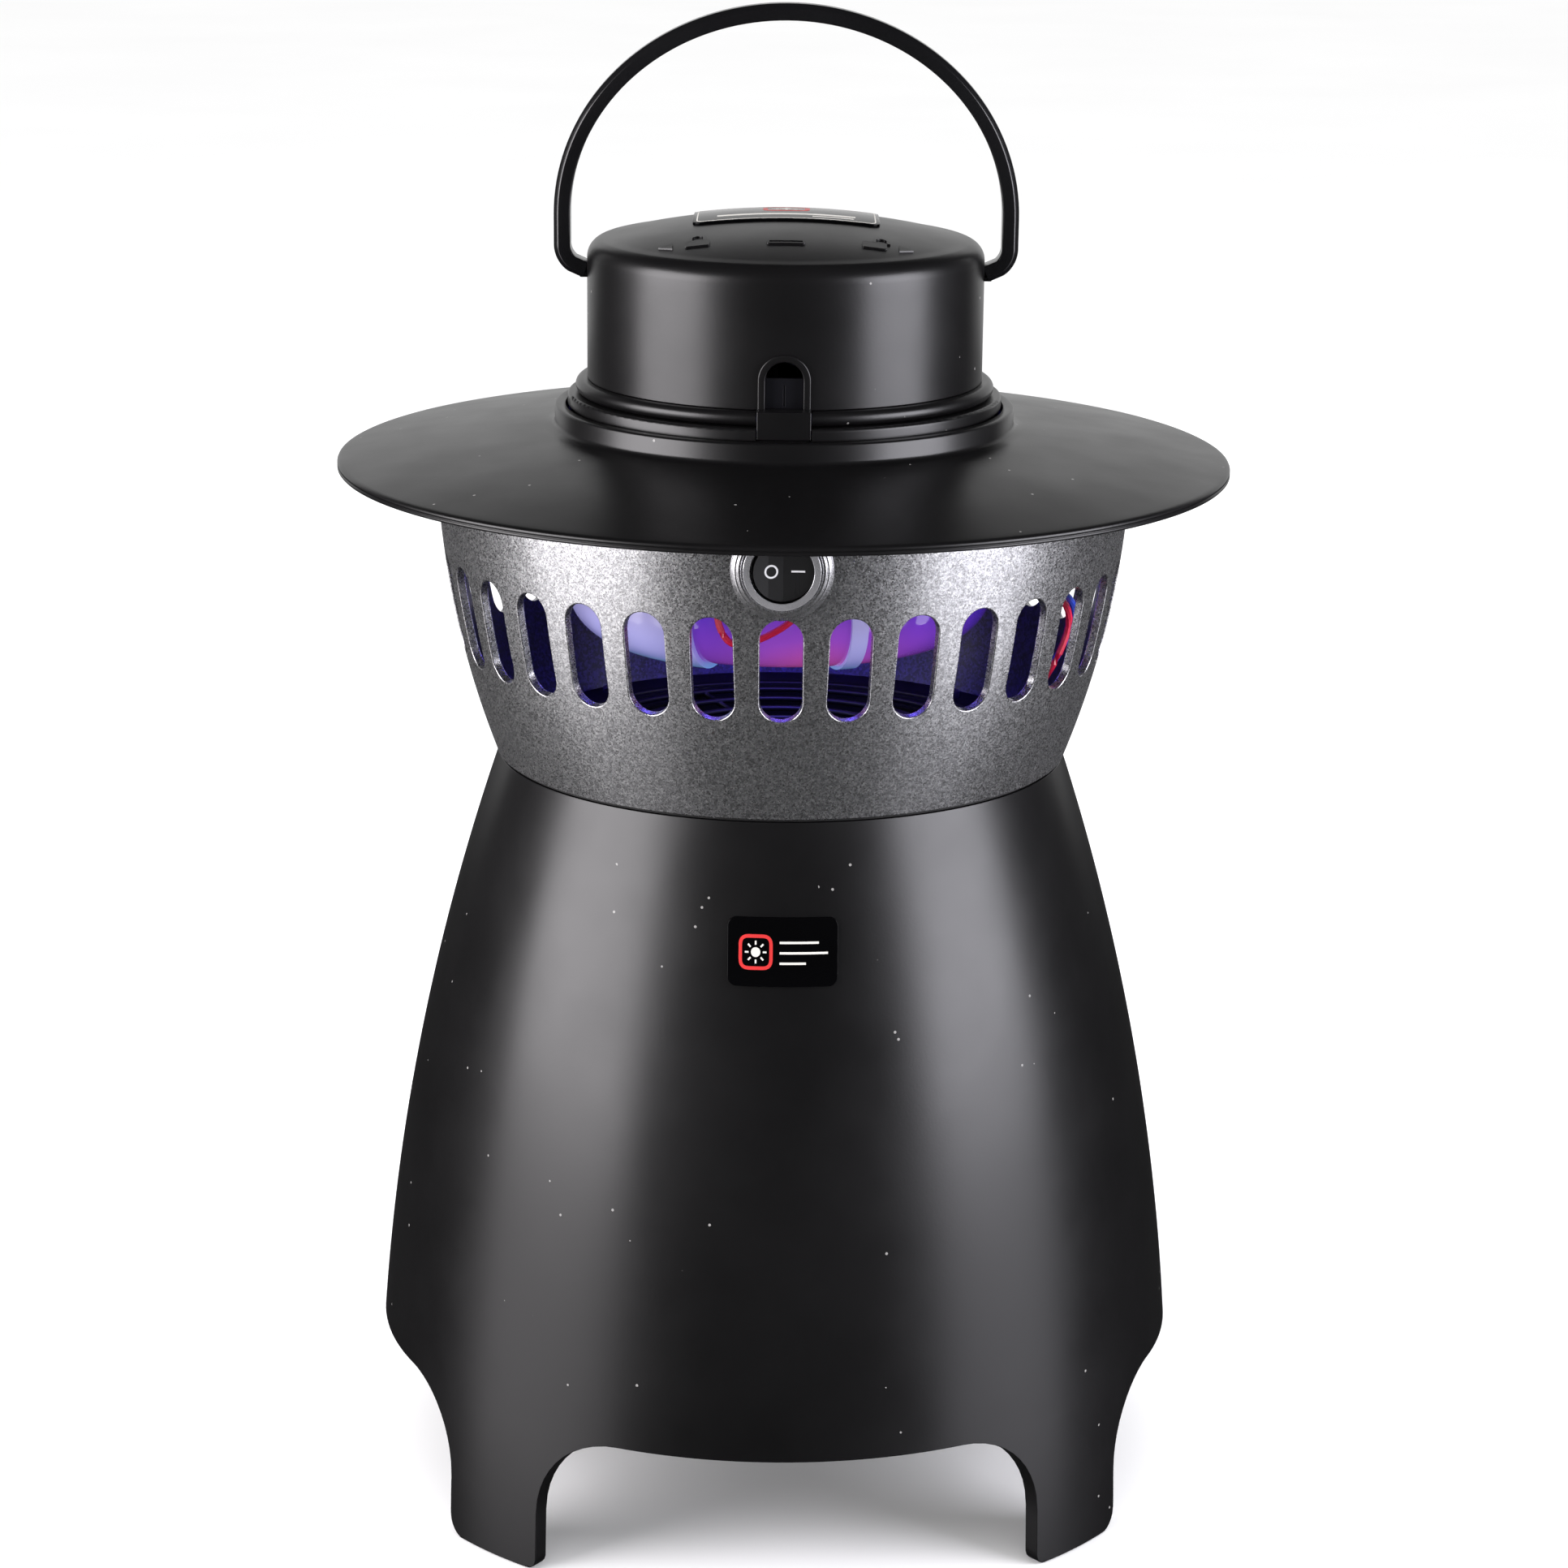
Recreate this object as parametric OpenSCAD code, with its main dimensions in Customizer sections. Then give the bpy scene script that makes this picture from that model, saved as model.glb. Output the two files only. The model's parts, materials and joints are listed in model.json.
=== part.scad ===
// Garden insect trap in the shape of a lantern: a flared base on four legs, a slotted cage
// with a ring-shaped ultraviolet lamp and a suction fan inside, a wide rain brim, and a
// twist-off cap with a carrying bail. Millimetres, +Z up, origin on the ground under the axis.
// The front of the trap faces -Y, and azimuths are counted from the front towards +X.

/* [Base] */
// Height of the joint between the base and the cage
neck_z = 222.6; // [205:0.1:240]
// Outer radius of the base at the neck
neck_r = 84; // [84:0.5:86]
// Outer radius of the base at the ground
foot_r = 122.8; // [120:0.1:125]
// Radius of the bulging outline of the base
base_bulge = 720; // [650:10:900]
// Wall of the base above the legs
base_wall = 3; // [2.5:0.1:3.5]
// Wall of the legs
leg_wall = 5; // [4:0.1:5.5]
// Width of a leg as an angle about the axis
leg_angle = 17; // [14:0.1:20]
// Turn of the four legs away from the diagonals
leg_turn = 2.6; // [0:0.1:3]
// Height of the arches between the legs
arch_h = 43.8; // [40:0.1:45]
// Radius of the upper corners of the arches
arch_corner = 26; // [14:0.5:27]

/* [Cage] */
// Height of the cage above the neck
cage_h = 89.3; // [89.3:0.1:89.4]
// Outer radius of the cage under the brim
cage_top_r = 102.1; // [101.5:0.1:102.5]
// Radius of the flaring outline of the cage
cage_bulge = 267.7; // [250:1:300]
// Wall of the cage
cage_wall = 2.5; // [2:0.1:3]
// Number of slots around the cage
slot_count = 32; // [32:4:36]
// Width of a slot
slot_w = 12; // [10:0.5:12]
// Length of a slot
slot_h = 30.3; // [26:0.1:30.3]
// Height of the lower end of the slots above the neck
slot_low = 30.7; // [30.7:0.1:31]

/* [Brim and cap] */
// Outer radius of the rain brim
brim_r = 130.7; // [125:0.1:135]
// Outer radius of the collar on the brim
collar_r = 67.2; // [66.5:0.1:68]
// Outer radius of the cap
cap_r = 57.7; // [57.5:0.1:58]
// Radius of the fillet between the wall and the top of the cap
cap_fillet = 5.5; // [4:0.5:6]
// Rise of the domed top of the cap
cap_crown = 6.5; // [5:0.5:7.5]

/* [Handle] */
// Half of the outer width of the bail
bail_half_w = 67.3; // [67:0.1:68]
// Rise of the curved top of the bail above its straight legs
bail_rise = 60.7; // [55:0.5:65]
// Thickness of the bail in its own plane
bail_t = 4.8; // [4:0.1:5]
// Depth of the bail from front to back
bail_d = 8; // [7:0.5:9]

/* [Lamp and fan] */
// Radius of the glass tube of the ring lamp
tube_r = 14.5; // [13:0.5:14.5]
// Radius of the centreline of the ring lamp
lamp_r = 48; // [46:0.5:48]
// Outer radius of the fan blades
blade_r = 64.5; // [60:0.5:64.5]
// Number of fan blades
blade_count = 7; // [5:1:9]

/* [Switch] */
// Outer radius of the raised boss around the switch
boss_r = 14.15; // [14:0.05:14.2]
// Height of the switch above the neck
switch_up = 75.3; // [75.3:0.1:75.5]

/* [Hidden] */
$fn = 96;

// Facets along each curved outline
arc_steps = 26;
// Running clearance of a pin or shaft in its bore, in radius
run = 0.05;
// Clearance of a screw in its hole, in radius
screw_gap = 0.05;
// A cut passes this far beyond the face it goes through
over = 1;

screw_azimuths = [45, 135, 225, 315];
lug_azimuths = [35, 155, 275];
// Twist that frees the cap
cap_turn = 25;

cage_top_z = neck_z + cage_h;
slot_z0 = neck_z + slot_low;
brim_z = neck_z + 85.4;
brim_top_z = neck_z + 97.5;
collar_top_z = neck_z + 103.3;
flange_z = neck_z + 103.5;
flange_mid_z = neck_z + 106.8;
cap_wall_z = neck_z + 111;
shoulder_z = neck_z + 151.5;
pivot_z = neck_z + 142;
lamp_z = neck_z + 50;
floor_z = neck_z + 99.5;
floor_t = 2.5;
board_z = neck_z + 110;
switch_z = neck_z + switch_up;
fan_z = neck_z - 2.6;
duct_low_z = neck_z - 55;
hub_top_z = neck_z - 17;
motor_z = neck_z - 50;
shutter_z = neck_z - 70;
tray_z = 48;

// Circle of radius r through p and q that bulges away from the axis: its centre
function arc_centre(p, q, r) =
    let (d = q - p)
    let (n = norm(d))
    let (side = [-d[1], d[0]] / n)
    (p + q) / 2 + side * sqrt(r * r - n * n / 4);
function arc_r(z, centre, r) = centre[0] + sqrt(r * r - (z - centre[1]) * (z - centre[1]));
base_centre = arc_centre([foot_r, 0], [neck_r, neck_z], base_bulge);
cage_centre = arc_centre([neck_r + 0.7, neck_z], [cage_top_r, cage_top_z], cage_bulge);
function base_r(z) = arc_r(z, base_centre, base_bulge);
function cage_r(z) = arc_r(z, cage_centre, cage_bulge);
function steps(a, b, n) = [for (i = [0:n]) a + (b - a) * i / n];
function arc_points(c, r, a0, a1, n) =
    [for (a = steps(a0, a1, n)) c + r * [cos(a), sin(a)]];
function dome_z(r) = shoulder_z + cap_crown * (1 - pow(r / (cap_r - cap_fillet), 2));

// Smooth path through hand-placed points, and a round tube along it
function spline(p, a, b, c, d, t) =
    0.5 * ((2 * p[b]) + (p[c] - p[a]) * t + (2 * p[a] - 5 * p[b] + 4 * p[c] - p[d]) * t * t
    + (3 * p[b] - 3 * p[c] + p[d] - p[a]) * t * t * t);
function smooth(p, n) = [for (i = [0:len(p) - 2]) for (k = [0:n - 1])
    spline(p, max(i - 1, 0), i, i + 1, min(i + 2, len(p) - 1), k / n), p[len(p) - 1]];
function unit(v) = v / norm(v);
function ring_points(c, t, r, sides) =
    let (u = unit(cross(t, abs(t[2]) > 0.9 ? [0, 1, 0] : [0, 0, 1])))
    let (v = cross(u, t))
    [for (k = [0:sides - 1]) c + r * (u * cos(360 * k / sides) + v * sin(360 * k / sides))];

module wire(points, r) {
    sides = 8;
    path = smooth(points, 4);
    last = len(path) - 1;
    rings = [for (i = [0:last])
        ring_points(path[i], unit(path[min(i + 1, last)] - path[max(i - 1, 0)]), r, sides)];
    vertices = [for (ring = rings) for (v = ring) v];
    walls = [for (i = [0:last - 1]) for (k = [0:sides - 1])
        [i * sides + k, i * sides + (k + 1) % sides,
         (i + 1) * sides + (k + 1) % sides, (i + 1) * sides + k]];
    start = [for (k = [0:sides - 1]) sides - 1 - k];
    end = [for (k = [0:sides - 1]) last * sides + k];
    polyhedron(vertices, concat([start], walls, [end]));
}

module tube(r_out, r_in, z0, z1) {
    translate([0, 0, z0]) difference() {
        cylinder(r = r_out, h = z1 - z0);
        translate([0, 0, -over]) cylinder(r = r_in, h = z1 - z0 + 2 * over);
    }
}

module disc(r, z0, z1) {
    translate([0, 0, z0]) cylinder(r = r, h = z1 - z0);
}

// Part of a tube, centred on azimuth a and spanning an angle
module sector(r_out, r_in, z0, z1, a, span) {
    rotate([0, 0, a - span / 2 - 90]) rotate_extrude(angle = span)
        translate([r_in, z0]) square([r_out - r_in, z1 - z0]);
}

module around(azimuths) {
    for (a = azimuths) rotate([0, 0, a]) children();
}

// Cylinder that points towards the front, from y0 to y1, at height z
module front_cylinder(r, y0, y1, z) {
    translate([0, y1, z]) rotate([90, 0, 0]) cylinder(r = r, h = y1 - y0);
}

module rounded_rect(w, h, r) {
    union() {
        square([w - 2 * r, h], center = true);
        square([w, h - 2 * r], center = true);
        for (x = [-1, 1]) for (y = [-1, 1])
            translate([x * (w / 2 - r), y * (h / 2 - r)]) circle(r = r, $fn = 32);
    }
}

// Screws stand with the head's underside at z and the shank upwards
module screw(z, head_r, head_h, shank_r, shank_h) {
    disc(shank_r, z, z + shank_h);
    disc(head_r, z - head_h, z);
}

/* Base */

// Outline of one arch as [azimuth, height] pairs, from its left foot to its right foot
arch_half = 45 - leg_angle / 2;
function arch_side(foot_round) =
    let (mm = 180 / PI / foot_r)
    concat(
        [[arch_half + (foot_round + 0.5) * mm, -over]],
        [for (a = steps(0, 90, 5)) [arch_half + foot_round * (1 - sin(a)) * mm,
            foot_round * (1 - cos(a))]],
        [for (a = steps(0, 90, 9)) [arch_half - arch_corner * (1 - cos(a)) * mm,
            arch_h - arch_corner * (1 - sin(a))]]);
function mirrored(side) = [for (i = [len(side) - 1:-1:0]) [-side[i][0], side[i][1]]];
function arch_outline(foot_round) =
    let (side = arch_side(foot_round))
    let (top = side[len(side) - 1][0])
    concat(side, [for (a = steps(top, -top, 11)) if (abs(a) < top - 1) [a, arch_h]],
        mirrored(side));

module arch_cutter(foot_round) {
    outline = arch_outline(foot_round);
    n = len(outline);
    r_in = 85;
    r_out = 1.4 * foot_r;
    function at(r, p) = [r * sin(p[0]), -r * cos(p[0]), p[1]];
    vertices = concat([for (p = outline) at(r_in, p)], [for (p = outline) at(r_out, p)]);
    walls = [for (i = [0:n - 1]) each [
        [i, (i + 1) % n, n + (i + 1) % n],
        [i, n + (i + 1) % n, n + i]]];
    // The ends are strips between the left and the right half of the outline
    strips = [for (i = [0:floor(n / 2) - 2]) each [
        [i, n - 1 - i, n - 2 - i],
        [i, n - 2 - i, i + 1]]];
    inner = [for (t = strips) [t[0], t[1], t[2]]];
    outer = [for (t = strips) [n + t[0], n + t[2], n + t[1]]];
    polyhedron(vertices, [for (f = concat(walls, inner, outer)) [f[0], f[2], f[1]]]);
}

module base_profile() {
    rim_z = neck_z - 0.7;
    wall_low_z = 72;
    wall_high_z = 100;
    outer = [for (z = steps(0, rim_z, arc_steps)) [base_r(z), z]];
    inner_high = [for (z = steps(rim_z, wall_high_z, 14)) [base_r(z) - base_wall, z]];
    inner_low = [for (z = steps(wall_low_z, 0, 6)) [base_r(z) - leg_wall, z]];
    polygon(concat(outer, inner_high, inner_low));
}

catch_z = tray_z + 5;
module base_shell() {
    catch_t = 3;
    catch_span = 20;
    color([0.07, 0.07, 0.075]) difference() {
        union() {
            rotate_extrude($fn = 128) base_profile();
            // Catches that carry the lugs of the tray
            around(screw_azimuths)
                sector(base_r(catch_z + catch_t) - leg_wall + 1.5, 111.8, catch_z,
                    catch_z + catch_t, 0, catch_span);
        }
        around([leg_turn, leg_turn + 180]) arch_cutter(3.5);
        around([leg_turn + 90, leg_turn + 270]) arch_cutter(6.5);
    }
}

badge_az = 0.8;
badge_w = 31;
badge_h = 18.6;
badge_z = neck_z - 35.2;
badge_t = 0.7;
module badge() {
    low = badge_z - badge_h;
    high = badge_z + badge_h;
    color([0.01, 0.01, 0.012]) rotate([0, 0, badge_az]) intersection() {
        rotate_extrude($fn = 128) polygon(concat(
            [for (z = steps(low, high, 8)) [base_r(z) + 0.05, z]],
            [for (z = steps(high, low, 8)) [base_r(z) + 0.05 + badge_t, z]]));
        translate([0, -80, badge_z]) rotate([90, 0, 0]) linear_extrude(40)
            rounded_rect(badge_w, badge_h, 2.6);
    }
}

module neck_gasket() {
    color("black") tube(neck_r - 0.5, neck_r - 2.9, neck_z - 0.7, neck_z);
}

/* Cage */

spigot_r = neck_r - 3.7;
spigot_low_z = neck_z - 11;
ledge_r = 70;
module cage_profile() {
    outer = [for (z = steps(neck_z, cage_top_z, arc_steps)) [cage_r(z), z]];
    inner = [for (z = steps(cage_top_z, neck_z + 6, arc_steps)) [cage_r(z) - cage_wall, z]];
    polygon(concat(outer, inner, [
        [spigot_r, neck_z + 1.5], [ledge_r, neck_z + 1.5], [ledge_r, neck_z - 2.5],
        [spigot_r - 3, neck_z - 2.5], [spigot_r - 3, spigot_low_z], [spigot_r, spigot_low_z],
        [spigot_r, neck_z]]));
}

// One slot with round ends, cut along the radius
module slot() {
    r = slot_w / 2;
    for (z = [slot_z0 + r, slot_z0 + slot_h - r]) front_cylinder(r, -115, -85, z);
    translate([-r, -115, slot_z0 + r]) cube([slot_w, 30, slot_h - slot_w]);
}

boss_front_y = -104;
boss_bore_r = 10.75;
tab_z = neck_z + 77;
tab_r = 91;
fan_screw_r = 74.5;
module cage_ring() {
    color([0.42, 0.42, 0.44]) difference() {
        union() {
            rotate_extrude($fn = 128) cage_profile();
            intersection() {
                front_cylinder(boss_r, boss_front_y, -96, switch_z);
                translate([-20, -110, switch_z - 20]) cube([40, 20, 33.2]);
            }
            around(screw_azimuths) intersection() {
                translate([-5, -100.5, tab_z]) cube([10, 14, 3]);
                disc(cage_r(tab_z) - 0.8, tab_z - 5, tab_z + 8);
            }
        }
        around([for (i = [0:slot_count - 1]) 360 * i / slot_count]) slot();
        front_cylinder(boss_bore_r, -110, -90, switch_z);
        around(screw_azimuths) translate([0, -tab_r, 0]) disc(1.9, tab_z - over, tab_z + 5);
        around(screw_azimuths) translate([0, -fan_screw_r, 0])
            disc(1.9, neck_z - 6, neck_z + 5);
        // Passage of the motor leads through the ledge
        rotate([0, 0, lead_azimuth]) translate([0, -73.5, 0]) disc(2.8, neck_z - 6, neck_z + 5);
    }
}

/* Brim */

collar_in_r = 64;
lug_r = 65.4;
notch_r = 65.7;
module brim_profile() {
    lip = 2.5;
    t = 2.2;
    bend = 0.6;
    function top_z(r) =
        let (k = (brim_r - 0.6 - r) / (brim_r - 0.6 - collar_r))
        brim_z + lip + (brim_top_z - brim_z - lip) * k + bend * sin(180 * k);
    radii = steps(brim_r - 0.6, collar_r, 14);
    under = steps(collar_r - 1, brim_r - 3, 14);
    polygon(concat(
        [[brim_r, brim_z], [brim_r, brim_z + 1.5], [brim_r - 0.6, brim_z + lip]],
        [for (r = radii) if (r < brim_r - 1) [r, top_z(r)]],
        [[collar_r, collar_top_z - 0.6], [collar_r - 0.6, collar_top_z],
         [collar_in_r, collar_top_z], [collar_in_r, brim_top_z - t]],
        [for (r = under) [r, top_z(r) - t]],
        [[brim_r - 2, brim_z]]));
}

module brim() {
    boss_r = 3.8;
    seat = neck_z + 80;
    color([0.07, 0.07, 0.075]) difference() {
        union() {
            rotate_extrude($fn = 144) brim_profile();
            around(screw_azimuths) translate([0, -tab_r, 0]) disc(boss_r, seat, brim_z + 7.5);
        }
        around(screw_azimuths) translate([0, -tab_r, 0]) disc(1.3, seat - over, seat + 7);
        for (a = lug_azimuths)
            sector(notch_r, collar_in_r - 1, brim_top_z - 5, collar_top_z + over,
                a + cap_turn, 13);
    }
}

module brim_screws() {
    color("silver") around(screw_azimuths) translate([0, -tab_r, 0])
        screw(tab_z, 3, 2, 1.3 - screw_gap, 9.5);
}

/* Switch */

module switch_boot() {
    color([0.75, 0.75, 0.78]) union() {
        difference() {
            front_cylinder(boss_bore_r - 0.05, boss_front_y - 0.6, boss_front_y + 2, switch_z);
            front_cylinder(9.95, boss_front_y - 2, boss_front_y + 3, switch_z);
        }
        difference() {
            front_cylinder(10, boss_front_y - 0.6, boss_front_y + 0.1, switch_z);
            front_cylinder(8.75, boss_front_y - 2, boss_front_y + 1, switch_z);
        }
    }
}

rocker_y = boss_front_y + 3.2;
body_r = 9.9;
body_back_y = -82;
module switch_body() {
    front_y = boss_front_y + 0.15;
    color([0.03, 0.03, 0.03]) difference() {
        front_cylinder(body_r, front_y, body_back_y, switch_z);
        front_cylinder(8.9, front_y - over, rocker_y + 4, switch_z);
        // Bores for the pin of the rocker
        translate([0, rocker_y, switch_z - 9.6]) cylinder(r = 1.2 + run, h = 19.2);
        for (x = [-4.2, 0, 4.2]) translate([x - 0.4, body_back_y - 4, switch_z - 2.4])
            cube([0.8, 5, 4.8]);
    }
}

module switch_nut() {
    color([0.05, 0.05, 0.05]) difference() {
        front_cylinder(13, -96, -92.5, switch_z);
        front_cylinder(body_r + 0.05, -100, -90, switch_z);
    }
}

module switch_terminals() {
    color("gold") for (x = [-4.2, 0, 4.2])
        translate([x - 0.38, body_back_y - 4, switch_z - 2.35]) cube([0.76, 11, 4.7]);
}

rocker_tilt = 7;
module rocker() {
    r = 8.25;
    face_y = 2.6;
    color([0.02, 0.02, 0.02]) translate([0, rocker_y, switch_z]) rotate([0, 0, rocker_tilt])
    union() {
        intersection() {
            front_cylinder(r, -face_y - 1.5, 1.6, 0);
            // Two faces that lean away from a shallow valley in the middle
            linear_extrude(2 * r, center = true) polygon([[-r, 1.6], [-r, -face_y - 1.2],
                [-r / 2, -face_y - 0.4], [0, -face_y], [r / 2, -face_y - 0.4],
                [r, -face_y - 1.2], [r, 1.6]]);
        }
        translate([0, 0, -9.5]) cylinder(r = 1.2, h = 19);
    }
}

/* Fan */

duct_in_r = blade_r + 1.5;
duct_out_r = duct_in_r + 2.4;
lead_azimuth = 62;
module fan_frame() {
    strut_w = 7;
    cup_r = 24.5;
    color([0.08, 0.08, 0.09]) difference() {
        union() {
            tube(duct_out_r, duct_in_r, duct_low_z, fan_z);
            tube(ledge_r + 6.5, duct_in_r, fan_z - 3, fan_z);
            difference() {
                around([0, 90, 180, 270]) translate([-strut_w / 2, -duct_in_r - 1, motor_z - 4])
                    cube([strut_w, duct_in_r, 4]);
                disc(cup_r - 1, motor_z - 6, motor_z + 1);
            }
            disc(cup_r, motor_z - 4, motor_z);
        }
        around(screw_azimuths) translate([0, -fan_screw_r, 0]) disc(1.3, fan_z - 5, fan_z + 1);
        rotate([0, 0, lead_azimuth]) {
            translate([0, -73.5, 0]) disc(2.8, fan_z - 6, fan_z + 5);
            front_cylinder(3.3, -72, -62, motor_z + 2.4);
        }
        disc(4, motor_z - 6, motor_z + 1);
    }
}

module fan_screws() {
    color("silver") around(screw_azimuths) translate([0, -fan_screw_r, neck_z + 1.5])
        mirror([0, 0, 1]) screw(0, 3, 2, 1.3 - screw_gap, 6.8);
}

shaft_r = 2;
bush_r = 4;
motor_r = 22;
module fan_motor() {
    color([0.55, 0.56, 0.58]) difference() {
        union() {
            disc(motor_r, motor_z, motor_z + 20);
            disc(10, motor_z + 20, motor_z + 24);
        }
        disc(bush_r + 0.02, motor_z - 1, motor_z + 25);
    }
}

module motor_bushes() {
    color([0.72, 0.52, 0.25]) union() {
        tube(bush_r, shaft_r + run, motor_z + 0.2, motor_z + 6);
        tube(bush_r, shaft_r + run, motor_z + 18, motor_z + 24);
    }
}

module motor_shaft() {
    color("silver") disc(shaft_r, motor_z + 0.5, hub_top_z + 2);
}

hub_r = 26;
module blade() {
    pitch = 33;
    height = 20;
    translate([0, -hub_r - 20, motor_z + 15]) rotate([0, pitch, 0])
        cube([2, 2 * (blade_r - hub_r), height + 14], center = true);
}

module impeller() {
    low_z = motor_z + 5;
    color([0.1, 0.1, 0.11]) difference() {
        union() {
            difference() {
                disc(hub_r, low_z, hub_top_z);
                disc(hub_r - 2, low_z - over, hub_top_z - 2.5);
            }
            disc(5.5, motor_z + 25, hub_top_z);
            intersection() {
                tube(blade_r, hub_r - 1, low_z, hub_top_z - 3);
                around([for (i = [0:blade_count - 1]) 360 * i / blade_count]) blade();
            }
        }
        disc(shaft_r, motor_z + 20, hub_top_z + over);
    }
}

module inlet_guard() {
    wire_r = 0.9;
    guard_z = fan_z + wire_r + 2.6;
    color([0.16, 0.16, 0.17]) union() {
        for (r = [14, 26, 38, 50, 62]) rotate_extrude() translate([r, guard_z])
            circle(r = wire_r, $fn = 16);
        around([22.5, 112.5, 202.5, 292.5]) translate([0, -69.6, guard_z - wire_r])
            rotate([-90, 0, 0]) cylinder(r = wire_r, h = 57, $fn = 16);
        tube(ledge_r - 0.4, ledge_r - 2.6, fan_z + 0.05, fan_z + 3.4);
    }
}

/* Shutter */

flap_r = 62.5;
rod_r = 1.2;
flap_t = 1.4;
module shutter_frame() {
    color([0.09, 0.09, 0.1]) difference() {
        union() {
            tube(duct_out_r, duct_in_r, shutter_z - 2, duct_low_z - 0.1);
            tube(duct_in_r + 0.5, flap_r - 2.5, shutter_z + 3.2, shutter_z + 5.2);
            around([0, 180]) translate([-4, -duct_in_r - 1, shutter_z - 2])
                cube([8, 4, 5]);
        }
        translate([0, -90, shutter_z]) rotate([-90, 0, 0]) cylinder(r = rod_r + 0.02, h = 180);
    }
}

module shutter_rod() {
    color("silver") translate([0, -duct_in_r - 2, shutter_z]) rotate([-90, 0, 0])
        cylinder(r = rod_r, h = 2 * duct_in_r + 4);
}

// Half of a disc that hangs from knuckles on the rod; the knuckles of the two flaps alternate
module shutter_flap(side, knuckles) {
    knuckle_r = 2.6;
    color([0.2, 0.2, 0.22]) difference() {
        union() {
            intersection() {
                disc(flap_r, shutter_z + 1.4, shutter_z + 1.4 + flap_t);
                translate([side > 0 ? 0.4 : -flap_r - 0.4, -flap_r, shutter_z - 5])
                    cube([flap_r, 2 * flap_r, 20]);
            }
            for (y = knuckles) translate([0, y, shutter_z]) rotate([-90, 0, 0])
                cylinder(r = knuckle_r, h = 10);
        }
        translate([0, -90, shutter_z]) rotate([-90, 0, 0]) cylinder(r = rod_r + run, h = 180);
        // Room for the knuckles of the other flap, and for the springs
        for (y = [-knuckles[0] - 10.5, -knuckles[1] - 10.5])
            translate([0, y, shutter_z]) rotate([-90, 0, 0]) cylinder(r = 3.2, h = 11);
        translate([0, -7, shutter_z]) rotate([-90, 0, 0]) cylinder(r = 3.2, h = 14);
    }
}

module shutter_flap_left() {
    shutter_flap(-1, [-50, 20]);
}

module shutter_flap_right() {
    shutter_flap(1, [-30, 40]);
}

module flap_springs() {
    color("silver") for (y = [-6, 2]) translate([0, y, shutter_z]) rotate([-90, 0, 0])
        difference() {
            cylinder(r = 2.2, h = 4);
            translate([0, 0, -over]) cylinder(r = rod_r + 0.1, h = 6);
        }
}

/* Catch tray */

tray_r = 110.5;
tray_floor_t = 2;
module catch_tray() {
    grip_h = 9;
    color([0.08, 0.08, 0.085]) union() {
        tube(tray_r, tray_r - 2, tray_z, tray_z + 20);
        tube(tray_r - 1, tray_r - 9, tray_z, tray_z + tray_floor_t);
        difference() {
            around([for (i = [0:5]) 60 * i]) translate([-3, -tray_r + 3, tray_z])
                cube([6, tray_r - 3, tray_floor_t]);
            disc(19, tray_z - over, tray_z + 5);
        }
        tube(24, 17, tray_z, tray_z + tray_floor_t);
        // Grip bar across the middle, reached from below
        translate([-3, -20, tray_z - grip_h + tray_floor_t]) cube([6, 40, grip_h]);
        around(screw_azimuths) sector(113.4, tray_r - 1, catch_z + 3.4, catch_z + 6.4, 0, 16);
    }
}

module tray_mesh() {
    mesh_z = tray_z + tray_floor_t + 0.05;
    bar = 1.2;
    pitch = 8;
    ring_count = 10;
    color([0.25, 0.25, 0.27]) union() {
        for (i = [0:ring_count]) tube(25 + i * pitch, 25 + i * pitch - bar, mesh_z, mesh_z + 1);
        around([for (i = [0:23]) 15 * i]) translate([-bar / 2, -104.5, mesh_z])
            cube([bar, 81, 1]);
    }
}

/* Leads: hand-placed routes, in millimetres above the neck */

function above_neck(points) = [for (p = points) p + [0, 0, neck_z]];
lead_r = 1;

module switch_lead_red() {
    color([0.7, 0.03, 0.06]) wire(above_neck([[4.2, -77, 72.8], [4.3, -76.5, 70],
        [5.5, -73, 62.5], [5, -69.5, 56.5], [0, -69, 51.5], [-8, -69, 47.5], [-14, -69, 47],
        [-17.5, -68.8, 52], [-18, -68.5, 60], [-15, -67, 68.5], [-10, -56, 71.5],
        [-6, -40, 73], [-3, -20, 75], [-2, -5, 77.5], [-1.6, -1.7, 81], [-1.6, -1.6, 83.9]]), lead_r);
}

module switch_lead_black() {
    color([0.02, 0.02, 0.02]) wire(above_neck([[-4.2, -77, 72.8], [-4.2, -76.5, 70.5],
        [-5, -72, 68], [-5, -65, 67.6], [0, -52, 69], [4, -36, 71.5], [3.4, -18, 76],
        [2.4, -5, 77.5], [1.2, -1.7, 81], [1.2, -1.6, 83.9]]), lead_r);
}

// Both motor leads follow the inner wall of the cage down to the motor
function motor_run(shift) = [for (p = [[78, -46.5, 58], [83.5, -35, 49], [81, -33.5, 38],
    [74, -34, 25], [67.5, -35, 11], [65.2, -34.6, 2], [64.9, -34.5, -8], [64.9, -34.5, -30],
    [64.5, -34.2, -41], [62, -32.9, -46.5], [58.3, -31, -47.6], [50, -26.6, -47.7],
    [36, -19.1, -47.7], [20.3, -10.8, -47.7]]) p + shift];
lead_shift = [0.68, 1.05, 1.15];

module motor_lead_red() {
    start = [[0, -77, 72.8], [0.3, -77, 69.8], [9, -79, 67], [32, -78, 67], [58, -65, 63.5]];
    color([0.7, 0.03, 0.06]) wire(above_neck(concat(start, motor_run(-lead_shift))), lead_r);
}

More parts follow.
